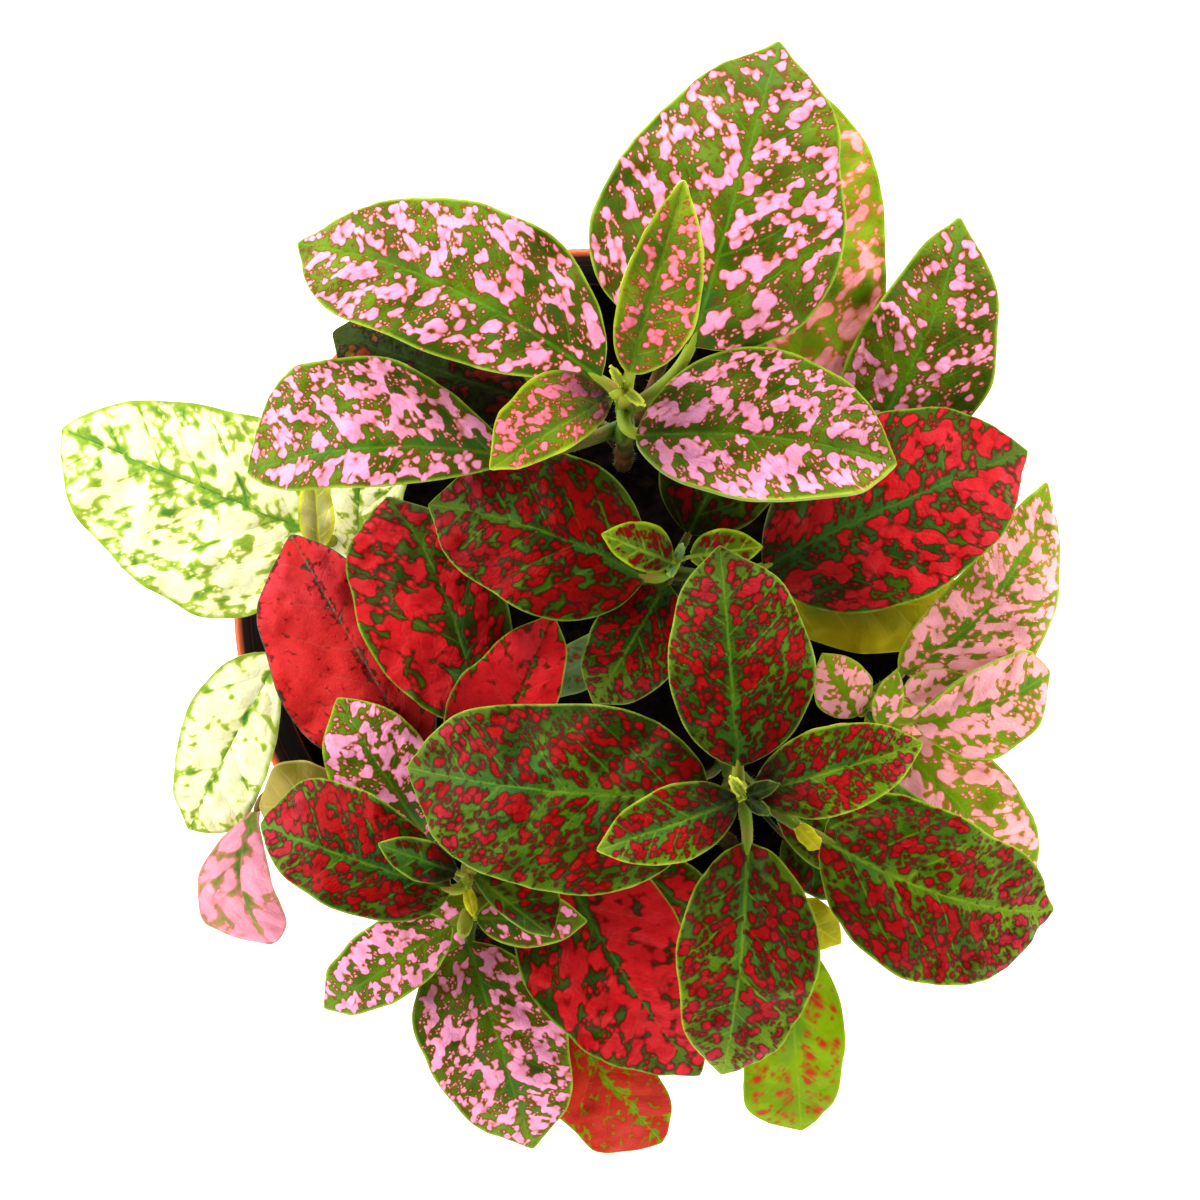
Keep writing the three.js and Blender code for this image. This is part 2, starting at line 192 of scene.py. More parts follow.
def setStage():
    scene = bpy.context.scene
    clearSelection()
    bpy.ops.object.camera_add(location=inMetres(*view["eye"]), rotation=(0, 0, 0))
    scene.camera = bpy.context.active_object
    scene.camera.data.sensor_fit = "HORIZONTAL"
    scene.camera.data.angle = math.radians(view["angle"])
    for name, (place, power) in view["boxes"].items():
        bpy.ops.object.light_add(type="AREA", location=inMetres(*place))
        lamp = bpy.context.active_object
        lamp.name = name
        lamp.data.shape = "DISK"
        lamp.data.size = view["boxSize"] * mm
        lamp.data.energy = power
        direction = Vector(view["aim"]) - Vector(place)
        lamp.rotation_euler = direction.to_track_quat("-Z", "Y").to_euler()
    scene.world = bpy.data.worlds.new("light tent")
    scene.world.use_nodes = True
    tent = scene.world.node_tree
    around = addNode(tent, "TexCoord")["Generated"]
    height = addNode(tent, "SeparateXYZ", [around])["Z"]
    strength = addNode(tent, "MapRange", [height, *view["tentEdge"], 1, view["skyStrength"]])[0]
    setInputs(tent, tent.nodes["Background"], {"Color": (1, 1, 1, 1), "Strength": strength})
    scene.view_settings.view_transform = "Standard"
    scene.view_settings.look = view["contrast"]
    bpy.ops.mesh.primitive_plane_add(size=view["floorSize"])
    floor = activeMesh("floor")
    material, _, finish = newMaterial("opal acrylic light table")
    finish({
        "Base Color": linear(view["floorColour"]), "Roughness": view["floorRoughness"],
        "Emission Color": (1, 1, 1, 1), "Emission Strength": view["floorGlow"],
    })
    floor.data.materials.append(material)
    print("stage ready")


setStage()


# Pot: injection moulded polypropylene with terracotta pigment. The pigment gives an even orange brown,
# the mould a satin skin with faint rings, and the thin wall glows a little. Sizes are in mm.
pot = {
    "height": 95, "rimRadius": 60, "rimLip": 1.9, "lipDepth": 2.4, "wall": 1.4,
    "baseRadius": 42, "collarHeight": 14, "collarStep": 1.6, "footHeight": 2, "footWidth": 6,
    "padRadius": 12, "floorThickness": 1.5, "floorMiddle": 3, "segments": 144, "cornerPoints": 5,
    "drainHoles": 8, "drainRadius": 3, "drainCircle": 25, "drainSides": 28, "drainCut": 20,
    # the lip colour is a painted highlight, and the darkest colour is painted shade inside the pot
    "colour": "#a8441a", "colourLight": "#b8562a", "dust": "#7a5c48", "lip": "#d8642c", "innerShade": "#0a0604",
    "innerShadeShare": 0.985, "ringGap": 1.3,
    # heights and radii between which the painted highlight of the lip and the painted shade inside the pot
    # set in
    "lipHeights": (92.6, 94.2), "wallTop": (94.6, 94.2), "wallFoot": (80.6, 81), "wallRadii": (57.1, 57.5),
    "edgeHeights": (93.6, 94.4), "edgeRadii": (58.5, 59.4),
}
collarBottom = pot["height"] - pot["collarHeight"]
collarOuter = pot["rimRadius"] - pot["rimLip"]
bodyTop = collarOuter - pot["collarStep"]
wallSlope = (bodyTop - pot["baseRadius"]) / collarBottom


def innerRadius(z):
    return pot["baseRadius"] - pot["wall"] + wallSlope * z


def roundedProfile(corners):
    # corners are (radius, height, rounding); the first and last stay sharp
    points = [corners[0][:2]]
    for ends in zip(corners, corners[1:], corners[2:]):
        before, corner, after = (np.array(place[:2]) for place in ends)
        size = ends[1][2]
        curve = [corner + unit(before - corner) * size, corner, corner + unit(after - corner) * size]
        points += bezier(curve, np.linspace(0, 1, pot["cornerPoints"])).tolist()
    return points + [corners[-1][:2]]


def turnedPiece(name, profile, segments):
    # a ring of points pulled along the profile by extrude, scale and move, and closed at both ends
    clearSelection()
    radius, height = profile[0]
    bpy.ops.mesh.primitive_circle_add(vertices=segments, radius=radius * mm, fill_type="NGON",
                                      location=(0, 0, height * mm))
    turned = activeMesh(name)
    bpy.ops.object.transform_apply(location=True)
    bpy.ops.object.mode_set(mode="EDIT")
    bpy.ops.mesh.select_all(action="SELECT")
    bpy.ops.mesh.flip_normals()
    for nextRadius, nextHeight in profile[1:]:
        share = nextRadius / radius
        rise = (nextHeight - height) * mm
        bpy.ops.mesh.extrude_region_move(TRANSFORM_OT_translate={"value": (0, 0, rise)})
        bpy.ops.transform.resize(value=(share, share, 1), center_override=(0, 0, nextHeight * mm))
        radius, height = nextRadius, nextHeight
    bpy.ops.mesh.select_all(action="SELECT")
    bpy.ops.mesh.normals_make_consistent(inside=False)
    bpy.ops.object.mode_set(mode="OBJECT")
    return turned


def potMaterial():
    material, add, finish = newMaterial("moulded polypropylene, terracotta")
    place = add("TexCoord")["Object"]
    height = add("SeparateXYZ", [place])["Z"]
    level = add("VectorMath", [place, (1, 1, 0)], operation="MULTIPLY")[0]
    radius = add("VectorMath", [level], operation="LENGTH")["Value"]
    clouds = add("TexNoise", {"Vector": place, "Scale": 35, "Detail": 3})["Fac"]
    speckle = add("TexNoise", {"Vector": place, "Scale": 900, "Detail": 2})["Fac"]
    # specks of dried peat that splashed on it
    splash = add("TexNoise", {"Vector": place, "Scale": 260, "Detail": 4, "Roughness": 0.7})["Fac"]
    specks = add("MapRange", [splash, 0.62, 0.72, 0, 0.55])[0]
    # painted highlight on the lip, and painted shade that darkens the wall inside it and the inner edge of
    # the lip almost to black
    lipHighlight = add("MapRange", [height, *inMetres(*pot["lipHeights"]), 0, 0.8])[0]
    below = add("MapRange", [height, *inMetres(*pot["wallTop"])])[0]
    above = add("MapRange", [height, *inMetres(*pot["wallFoot"])])[0]
    inside = add("MapRange", [radius, *inMetres(*pot["wallRadii"]), 1, 0])[0]
    innerWall = add("Math", [below, above], operation="MULTIPLY")[0]
    innerWallShade = add("Math", [innerWall, inside], operation="MULTIPLY")[0]
    lipTop = add("MapRange", [height, *inMetres(*pot["edgeHeights"])])[0]
    lipEdge = add("MapRange", [radius, *inMetres(*pot["edgeRadii"]), 1, 0])[0]
    lipEdgeShade = add("Math", [lipEdge, lipTop], operation="MULTIPLY")[0]
    paintedShadeMask = add("Math", [innerWallShade, lipEdgeShade], operation="MAXIMUM")[0]
    innerShadeShare = add("Math", [paintedShadeMask, pot["innerShadeShare"]], operation="MULTIPLY")[0]
    colour = linear(pot["colour"])
    for share, tone in (clouds, "colourLight"), (specks, "dust"), (lipHighlight, "lip"), (innerShadeShare, "innerShade"):
        colour = add("Mix", {0: share, 6: colour, 7: linear(pot[tone])}, data_type="RGBA")[2]
    # faint turning rings of the mould
    turns = add("Math", [height, 2 * math.pi / (pot["ringGap"] * mm)], operation="MULTIPLY")[0]
    rings = add("Math", [turns], operation="SINE")[0]
    skin = add("Math", [rings, 0.12, speckle], operation="MULTIPLY_ADD")[0]
    satin = add("MapRange", [speckle, 0, 1, 0.36, 0.5])[0]
    finish({
        "Base Color": colour,
        "Roughness": add("Math", [satin, paintedShadeMask], operation="MAXIMUM")[0],
        "Normal": add("Bump", {"Strength": 0.25, "Distance": 0.05 * mm, "Height": skin})[0],
        "IOR": 1.49, "Subsurface Weight": 0.02, "Subsurface Radius": (0.003, 0.0012, 0.0006),
    })
    return material


def buildPot():
    floorTop = pot["footHeight"] + pot["floorThickness"]
    footInner = pot["baseRadius"] - pot["footWidth"]
    collarInner = collarOuter - pot["wall"]
    lipLow = pot["height"] - pot["lipDepth"]
    corners = [
        (pot["floorMiddle"], 0, 0),
        (pot["padRadius"], 0, 0.4),
        (pot["padRadius"], pot["footHeight"], 0.4),
        (footInner, pot["footHeight"], 0.5),
        (footInner, 0, 0.5),
        (pot["baseRadius"], 0, 0.9),
        (bodyTop, collarBottom - 0.6, 0.5),
        (collarOuter - 0.3, collarBottom, 0.5),
        (collarOuter, lipLow, 0.4),
        (pot["rimRadius"], lipLow + 0.3, 0.8),
        (pot["rimRadius"], pot["height"], 0.9),
        (collarOuter - 0.5, pot["height"], 0.5),
        (collarInner, pot["height"] - 1.4, 0.6),
        (collarInner - 0.3, collarBottom + pot["wall"] + 0.8, 0.6),
        (innerRadius(collarBottom), collarBottom + 0.2, 0.6),
        (innerRadius(floorTop), floorTop, 1.2),
        (pot["floorMiddle"], floorTop, 0),
    ]
    shell = turnedPiece("pot_shell", roundedProfile(corners), pot["segments"])
    # drain holes are cut by small cylinders through the floor
    cutters = []
    for i in range(pot["drainHoles"]):
        angle = (i + 0.5) / pot["drainHoles"] * 2 * math.pi
        x, y = pot["drainCircle"] * math.cos(angle), pot["drainCircle"] * math.sin(angle)
        bpy.ops.mesh.primitive_cylinder_add(vertices=pot["drainSides"], radius=pot["drainRadius"] * mm,
                                            depth=pot["drainCut"] * mm, location=inMetres(x, y, floorTop))
        cutters.append(bpy.context.active_object)
    cutter = joinPieces(cutters, "drain cutter")
    cut = shell.modifiers.new("drain holes", "BOOLEAN")
    cut.operation = "DIFFERENCE"
    cut.solver = "EXACT"
    cut.object = cutter
    clearSelection()
    bpy.context.view_layer.objects.active = shell
    bpy.ops.object.modifier_apply(modifier=cut.name)
    bpy.data.objects.remove(cutter)
    settle(shell, 30)
    attach(shell, "pot", potMaterial())
    print("pot ready")


buildPot()


# Soil: damp peat potting mix, a dark bed of crumbs and clods with some fibre and fine bark.
soil = {
    "edge": 80.5, "crown": 84, "gap": 0.35, "chamfer": 1.4, "bedMiddle": 2, "segments": 200, "rings": 34,
    "clod": 1.5, "clodScale": 0.16, "clodSink": 0.4, "evenEdge": 3, "seed": 11,
    # crumbs and longer chips of bark are one lumpy ball, copied, turned and scaled
    "lump": 0.35, "lumpScale": 1.7, "spread": 0.97, "sink": 0.25, "crumbs": 900,
    "crumbSize": (0.35, 1.25), "crumbPower": 1.5, "crumbWidth": (0.6, 1), "crumbHeight": (0.5, 0.9),
    "chips": 70, "chipLength": (1.8, 4.2), "chipWidth": (0.5, 1.0), "chipHeight": (0.25, 0.5), "tilt": 0.35,
    "colour": "#0a0705", "colourLight": "#20160f",
}


def soilHeight(x, y):
    outward = math.hypot(x, y) / innerRadius(soil["edge"])
    return soil["crown"] - (soil["crown"] - soil["edge"]) * outward ** 2


def soilMaterial():
    material, add, finish = newMaterial("damp peat")
    place = add("TexCoord")["Object"]
    clods = add("TexNoise", {"Vector": place, "Scale": 420, "Detail": 5, "Roughness": 0.65})["Fac"]
    grains = add("TexVoronoi", {"Vector": place, "Scale": 900})["Distance"]
    light = add("MapRange", [clods, 0.42, 0.72])[0]
    tones = {0: light, 6: linear(soil["colour"]), 7: linear(soil["colourLight"])}
    crumbly = add("Math", [clods, grains], operation="ADD")[0]
    finish({
        "Base Color": add("Mix", tones, data_type="RGBA")[2],
        "Normal": add("Bump", {"Strength": 0.8, "Distance": 0.4 * mm, "Height": crumbly})[0],
        "Roughness": 0.95, "Specular IOR Level": 0.06,
    })
    return material


def spinOf(turn, tip):
    # a turn about the upright axis after a tip about the cross axis
    c, s = math.cos(turn), math.sin(turn)
    ct, st = math.cos(tip), math.sin(tip)
    return np.array([[c, -s, 0], [s, c, 0], [0, 0, 1]]) @ np.array([[ct, 0, -st], [0, 1, 0], [st, 0, ct]])


def buildBed(bottom, edge):
    profile = [
        (soil["bedMiddle"], bottom),
        (innerRadius(bottom) - soil["gap"] - soil["chamfer"], bottom),
        (edge, soil["edge"]),
    ]
    for i in range(1, soil["rings"]):
        radius = edge * (1 - i / soil["rings"])
        profile.append((radius, soilHeight(radius, 0)))
    bed = turnedPiece("peat_bed", profile, soil["segments"])
    points = getPoints(bed.data) / mm
    for i, (x, y, z) in enumerate(points):
        inside = min((edge - math.hypot(x, y)) / soil["evenEdge"], 1)
        if z > soil["edge"] - 1 and inside > 0:
            rough = noise.fractal(Vector((x, y, 3.1)) * soil["clodScale"], 0.9, 2.1, 5) * soil["clod"]
            points[i][2] += inside * (rough - soil["clodSink"])
    putPoints(bed.data, points)
    return bed


def buildSoil():
    draw = np.random.default_rng(soil["seed"])
    bottom = pot["footHeight"] + pot["floorThickness"] + soil["gap"]
    edge = innerRadius(soil["edge"]) - soil["gap"]
    bed = buildBed(bottom, edge)
    bpy.ops.mesh.primitive_ico_sphere_add(subdivisions=2, radius=1)
    ball, faces = takeShape()
    lumps = [noise.noise(Vector(point) * soil["lumpScale"]) for point in ball]
    ball = ball * (1 + soil["lump"] * np.array(lumps))[:, None]
    crumbs = []
    for i in range(soil["crumbs"] + soil["chips"]):
        radius = edge * math.sqrt(draw.uniform(0, soil["spread"]))
        angle = draw.uniform(0, 2 * math.pi)
        x, y = radius * math.cos(angle), radius * math.sin(angle)
        size = draw.uniform(*soil["crumbSize"]) ** soil["crumbPower"]
        shape = [size, size * draw.uniform(*soil["crumbWidth"]), size * draw.uniform(*soil["crumbHeight"])]
        if i >= soil["crumbs"]:
            shape = [draw.uniform(*soil[side]) for side in ("chipLength", "chipWidth", "chipHeight")]
        spin = spinOf(draw.uniform(0, 2 * math.pi), draw.uniform(-soil["tilt"], soil["tilt"]))
        place = (x, y, soilHeight(x, y) + shape[2] * soil["sink"] + 0.1)
        crumbs.append((ball * shape) @ spin.T + place)
    whole = joinPieces([bed, copiesPiece("crumbs", crumbs, faces)], "peat")
    settle(whole, 60)
    attach(whole, "soil", soilMaterial())
    print("soil ready")


buildSoil()


# Leaf tissue. A living leaf has a thin waxy skin over soft green tissue, so it is satin, darker in the
# green and pale where the pigment is missing.
colourNames = ("green", "greenLight", "vein", "margin", "spot", "spotEdge", "halo", "tipSheen", "under")


def lookOf(*colours, spotGap, veinShow=0.5, rim=0.6, merge=1, cool=0.45):
    # the colours come in the order of their names; spotGap goes from one spot to the next and rim is the
    # width of the pale margin line, which is painted rim light, both in mm; the others are shares
    look = {name: linear(colour) for name, colour in zip(colourNames, colours)}
    return {**look, "spotGap": spotGap, "veinShow": veinShow, "rim": rim, "merge": merge, "cool": cool}


# each look is one colour form of the plant, or one age of its leaves, but for the darkest, which is painted
# shade for leaves deep in the shade
looks = {
    "pink": lookOf("#3e580a", "#628010", "#6c9424", "#a0b43c", "#f8a6cc", "#c87464", "#744814", "#fcb0d0",
                   "#9db08a", spotGap=1.75),
    "pinkYoung": lookOf("#4e7008", "#748e10", "#90a82c", "#b4be38", "#f58aa4", "#d06850", "#8a4c1c",
                        "#f8949c", "#b0b860", veinShow=0.6, spotGap=1.3, rim=0.7, merge=0.9),
    # paler, partly an older leaf's own colour and partly painted glow of light through a backlit leaf
    "pinkOld": lookOf("#648208", "#7e9a12", "#8ca820", "#94ac20", "#fca4ac", "#e48868", "#a87830",
                      "#fca890", "#9db08a", veinShow=0.4, spotGap=2.2),
    "red": lookOf("#2c4806", "#52700e", "#688a20", "#8c9c3c", "#9a0e0c", "#5c0a04", "#38180a", "#b03444",
                  "#8a5a58", spotGap=1.7, rim=0.45, merge=0.6),
    "redVeined": lookOf("#3e5e08", "#64820e", "#86a024", "#a0ac38", "#a41216", "#5c0c06", "#46200a",
                        "#c03850", "#8a5a58", veinShow=0.55, spotGap=1.6, rim=0.5, merge=0.6),
    "redYoung": lookOf("#4c6408", "#6c820e", "#a0b430", "#a4b828", "#8c0a0c", "#700e08", "#5c2808",
                       "#8c1410", "#8a8a50", veinShow=0.7, spotGap=0.9, rim=0.7, merge=0.8),
    "scarlet": lookOf("#2c4608", "#4a640e", "#5c7c28", "#88a034", "#c62228", "#8c100a", "#4c180a",
                      "#d8404e", "#a05a5a", spotGap=2.0, rim=0.5, merge=0.9),
    "white": lookOf("#548c3c", "#92ae40", "#588c34", "#98b038", "#f4f6c8", "#e0e890", "#b8c858",
                    "#eef0b0", "#d8e4b0", veinShow=0.7, spotGap=2.3, rim=1.7, merge=0.9),
    "pale": lookOf("#64880c", "#82a414", "#88ac20", "#a4b838", "#ffb8c0", "#f0a090", "#b08038", "#f4a490",
                   "#b8bc98", spotGap=1.6, rim=0.7, merge=0.9),
    # paler, partly its own colour and partly painted glow of light through a backlit leaf
    "lime": lookOf("#6e8e04", "#88a608", "#98ac1c", "#98ac14", "#c03020", "#b04418", "#a06014", "#d04844",
                   "#a8b850", spotGap=2.6, rim=0.4, merge=0.5),
    # paler, partly a yellowing leaf's own colour and partly painted glow of light through a backlit leaf
    "straw": lookOf("#949008", "#aea418", "#b4ac30", "#b0b020", "#c06040", "#b06a3a", "#a08030",
                    "#c06040", "#b0b060", spotGap=2.6, rim=0.4),
    "cherry": lookOf("#4c2c1c", "#5c3c28", "#8c8c74", "#4c5c4c", "#c42e2c", "#a41c18", "#6c1810",
                     "#d44450", "#a05a5a", veinShow=0.55, spotGap=1.5, rim=0.5, merge=0.6),
    "tan": lookOf("#746c1c", "#9c8a44", "#aca058", "#b4a860", "#a06040", "#90603a", "#80703a", "#a06040",
                  "#b0b060", spotGap=2.6, rim=0.5),
    "olive": lookOf("#4c5c10", "#74841c", "#a0a838", "#c8cc4c", "#e8ecb0", "#b4bc60", "#8c9c30",
                    "#e8ecb0", "#b0b860", veinShow=0.6, spotGap=1.8),
    "khaki": lookOf("#aca448", "#dcd890", "#dcd834", "#d4d830", "#f6f6cc", "#dcdc94", "#8c8438",
                    "#f4f4c8", "#c0c080", veinShow=0.6, spotGap=1.4, rim=0.9),
    "sage": lookOf("#5c7c48", "#84a070", "#8ca878", "#8cac50", "#a04434", "#84402c", "#606030", "#a04434",
                   "#9cb088", veinShow=0.4, spotGap=1.4, rim=0.5),
    # painted shade: darker colours for leaves and buds deep in the shade
    "dusky": lookOf("#121c06", "#2a380c", "#3c4c14", "#5e6e22", "#6c1c12", "#3c100a", "#1c0e06",
                    "#74841c", "#5a5a30", veinShow=0.4, spotGap=1.6, rim=0.3, cool=0.04),
    "rose": lookOf("#809038", "#9ca448", "#90a050", "#e0a094", "#ffacc0", "#f09498", "#cc8874", "#f898b0",
                   "#d0b0a8", veinShow=0.3, spotGap=2.0),
}
tissue = {
    "veinHalf": 0.45,              # mm, half width of the strip that spots leave free along a side vein
    "midribHalf": 1.3,             # mm, and along the midrib
    "marginWidth": 1.1,            # mm, border without spots
    "softness": 0.03,              # how sharply a spot ends, as a share of the spot gap
    "halo": 0.36,                  # and how wide its brown rim is
    "swell": (-0.36, 0.24),        # how much the clouds shrink and swell the spots
    "paintedFootShade": "#160c04",             # painted shade on the foot of a blade, where the crown and the leaves above shade it
    "cool": "#2c6c38",             # bluer green patches beside the midrib
    "roughness": (0.44, 0.58),
    "gloss": 0.12,
}


def leafMaterial(name, look):
    material, add, finish = newMaterial("leaf tissue, " + name)
    marks = ("leafSpot", "leafEdge", "leafTone", "leafPlace")
    spotPlace, leafEdge, leafTone, leafPlace = (
        add("Attribute", attribute_name=mark)["Vector"] for mark in marks)
    level = add("SeparateXYZ", [spotPlace])["Z"]
    phase, midrib, margin = add("SeparateXYZ", [leafEdge])
    upper, spacing, dots = add("SeparateXYZ", [leafTone])
    reach, across, shade = add("SeparateXYZ", [leafPlace])
    solid = add("TexCoord")["Object"]
    smooth = {"interpolation_type": "SMOOTHSTEP"}
    flat = {"noise_dimensions": "2D"}
    rgba = {"data_type": "RGBA"}
    unevenEdge, cloudy, patches, mottle, grain = (
        add("TexNoise", {"Vector": solid, "Scale": scale, "Detail": detail})["Fac"]
        for scale, detail in ((260, 1), (90, 2), (55, 2), (520, 3), (700, 3)))

    # how near a point is to a side vein, the midrib and the margin
    veinShare = add("Math", [phase, 0.5], operation="PINGPONG")[0]
    veinGap = add("Math", [veinShare, spacing], operation="MULTIPLY")[0]
    onVein = add("MapRange", [veinGap, 0.1, tissue["veinHalf"], 1, 0], **smooth)[0]
    onMidrib = add("MapRange", [midrib, 0.2, tissue["midribHalf"], 1, 0], **smooth)[0]
    shifted = add("Math", [unevenEdge, -1.6, margin], operation="MULTIPLY_ADD")[0]
    onMargin = add("MapRange", [shifted, -0.8, tissue["marginWidth"] - 0.8, 1, 0], **smooth)[0]

    # spots: round cells that swell and merge where a cloud noise is high, on a slightly bent map
    bend = add("TexNoise", {"Vector": spotPlace, "Scale": 0.8, "Detail": 1}, **flat)["Color"]
    bent = add("VectorMath", [bend, (0.4, 0.4, 0), spotPlace], operation="MULTIPLY_ADD")[0]
    cells = add("TexVoronoi", {"Vector": bent, "Scale": 1, "Smoothness": 0.6},
                voronoi_dimensions="2D", feature="SMOOTH_F1")["Distance"]
    smallCells = add("TexVoronoi", {"Vector": bent, "Scale": 1.9}, voronoi_dimensions="2D")["Distance"]
    clouds = add("TexNoise", {"Vector": spotPlace, "Scale": 0.42, "Detail": 1.5, "Roughness": 0.5},
                 **flat)["Fac"]
    otherClouds = add("TexNoise", {"Vector": bent, "Scale": 0.8, "Detail": 1}, **flat)["Fac"]
    cloudSwell = add("MapRange", [clouds, 0.38, 0.62, *tissue["swell"]], **smooth)[0]
    swell = add("Math", [cloudSwell, look["merge"], level], operation="MULTIPLY_ADD")[0]
    bigSpots = add("Math", [swell, cells], operation="SUBTRACT")[0]
    smallSwell = add("MapRange", [otherClouds, 0.46, 0.6, -0.3, dots], **smooth)[0]
    smallSpots = add("Math", [smallSwell, smallCells], operation="SUBTRACT")[0]
    smaller = add("Math", [smallSpots, 0.6], operation="MULTIPLY")[0]
    field = add("Math", [bigSpots, smaller], operation="MAXIMUM")[0]
    # the veins and the margin keep free of them
    clearVein = -0.06 - 0.14 * look["veinShow"]
    for share, less in (onVein, clearVein), (onMidrib, -0.45), (onMargin, -0.4):
        field = add("Math", [share, less, field], operation="MULTIPLY_ADD")[0]
    spotOn = add("MapRange", [field, -tissue["softness"], tissue["softness"]], **smooth)[0]
    haloOn = add("MapRange", [field, -tissue["halo"], 0, 0, 0.88], **smooth)[0]

    # green tissue: cloudy, bluer beside the midrib, paler along the veins, yellower at tip and margin
    cloudShare = add("MapRange", [cloudy, 0.36, 0.64], **smooth)[0]
    patchShare = add("MapRange", [patches, 0.46, 0.62, 0, look["cool"]], **smooth)[0]
    nearMidrib = add("MapRange", [across, 0.1, 0.75, 1, 0], **smooth)[0]
    coolShare = add("Math", [patchShare, nearMidrib], operation="MULTIPLY")[0]
    tipShare = add("MapRange", [reach, 0.5, 1, 0, 0.8], **smooth)[0]
    tipGreen = add("Math", [tipShare, 0.3], operation="MULTIPLY")[0]
    veinLine = add("MapRange", [veinGap, 0.02, 0.34, look["veinShow"] * 0.7, 0], **smooth)[0]
    inside = add("MapRange", [across, 0.4, 0.92, 1, 0.1], **smooth)[0]
    sideVeins = add("Math", [veinLine, inside], operation="MULTIPLY")[0]
    thin = add("MapRange", [reach, 0.1, 0.95, 0.5, 0.24])[0]
    midribLine = add("MapRange", [midrib, 0.04, thin, look["veinShow"], 0], **smooth)[0]
    veins = add("Math", [sideVeins, midribLine], operation="MAXIMUM")[0]
    # the pale band along the margin is partly the margin's own paler green and partly painted glow of light
    # through the thin edge
    marginGlow = add("MapRange", [margin, 0.05, look["rim"], 0.75, 0], **smooth)[0]

    # spots: deeper at their edge, brighter in the heart and mottled, partly their own pattern and partly
    # painted shading and highlight, with a pinker painted sheen towards the tip
    uneven = add("MapRange", [mottle, 0.3, 0.55, 0.6, 1], **smooth)[0]
    heart = add("MapRange", [field, -0.02, 0.24], **smooth)[0]
    heartShare = add("Math", [heart, uneven], operation="MULTIPLY")[0]
    sheenShare = add("Math", [tipShare, cloudShare], operation="MULTIPLY")[0]
    spotHeart = add("Mix", {0: sheenShare, 6: look["spot"], 7: look["tipSheen"]}, **rgba)[2]
    spotColour = add("Mix", {0: heartShare, 6: look["spotEdge"], 7: spotHeart}, **rgba)[2]
    faintVeins = add("Math", [veins, 0.22], operation="MULTIPLY")[0]
    # painted rim light: a thin bright line right at the edge
    rimLightLine = add("MapRange", [margin, 0.05, look["rim"] * 0.6, 0.8, 0], **smooth)[0]
    # painted shade: the foot of a blade is darkened where the crown and the leaves above shade it
    nearFoot = add("MapRange", [reach, 0.04, 0.5, 1, 0], **smooth)[0]
    patchy = add("MapRange", [mottle, 0.3, 0.6, 0.75, 1])[0]
    footShade = add("Math", [nearFoot, shade], operation="MULTIPLY")[0]
    footShadeShare = add("Math", [footShade, patchy], operation="MULTIPLY")[0]

    # all these lie over the green in this order, and the lower face is paler
    layers = (
        (cloudShare, look["greenLight"]), (coolShare, linear(tissue["cool"])), (tipGreen, look["margin"]),
        (veins, look["vein"]), (marginGlow, look["margin"]), (haloOn, look["halo"]), (spotOn, spotColour),
        (faintVeins, look["vein"]), (rimLightLine, look["margin"]), (footShadeShare, linear(tissue["paintedFootShade"])),
    )
    upperFace = look["green"]
    for share, over in layers:
        upperFace = add("Mix", {0: share, 6: upperFace, 7: over}, **rgba)[2]
    lowerFace = add("Mix", {0: 0.55, 6: upperFace, 7: look["under"]}, **rgba)[2]

    # relief: sunk veins, a net of fine veins about 1.5 mm apart, and swollen skin cells 0.45 mm across,
    # drawn coarser than the real 0.05 mm
    net = add("TexVoronoi", {"Vector": spotPlace, "Scale": 1.05},
              voronoi_dimensions="2D", feature="DISTANCE_TO_EDGE")["Distance"]
    netHeight = add("MapRange", [net, 0, 0.16], **smooth)[0]
    skinCells = add("TexVoronoi", {"Vector": spotPlace, "Scale": 3.4}, voronoi_dimensions="2D")["Distance"]
    relief = grain
    for share, height in (skinCells, -0.4), (netHeight, 0.35), (veins, -0.7):
        relief = add("Math", [share, height, relief], operation="MULTIPLY_ADD")[0]
    finish({
        "Base Color": add("Mix", {0: upper, 6: lowerFace, 7: upperFace}, **rgba)[2],
        "Normal": add("Bump", {"Strength": 0.55, "Distance": 0.2 * mm, "Height": relief})[0],
        "Roughness": add("MapRange", [grain, 0, 1, *tissue["roughness"]])[0],
        "IOR": 1.42, "Specular IOR Level": tissue["gloss"],
    })
    return material


leafMaterials = {name: leafMaterial(name, look) for name, look in looks.items()}


# Stems and stalks: soft green stems, darker below as painted shade where they go down under the leaves,
# yellow green where young, with fine pale hairs. Sizes are in mm.
stemLook = {
    "lowShade": "#222a0c", "green": "#4c6a12", "light": "#94a42a", "blush": "#9c6040",
    "hair": "#c8d08c", "hairDark": "#98a060",
    "steps": 28, "rootDepth": 2, "footDepth": 3.0,
    "radius": 1.65, "crownRadius": 1.1, "crownTip": 0.62, "crownStart": 0.9,
    "swelling": 0.3, "swellingReach": 1.6, "mostSwelling": 0.5,
    "stalkRadius": 1.05, "stalkTip": 0.62, "stalkSteps": 12, "stalkBend": 0.35,
    "jointDrop": 0.7, "jointGap": 0.12, "tipSink": 0.8,
    "stubSteps": 7, "stubSwell": 0.15, "stubCap": 0.6,
    "usualBlade": 30, "stalkScales": (0.4, 1.15),  # a blade of this length hangs on a stalk of full size
    "hairLength": 0.7, "hairLengths": (0.5, 1.2), "hairRadius": 0.02, "hairStart": 0.5,
    "hairSpacing": 0.3, "hairLean": 0.5, "hairSink": 0.92, "seed": 5,
}


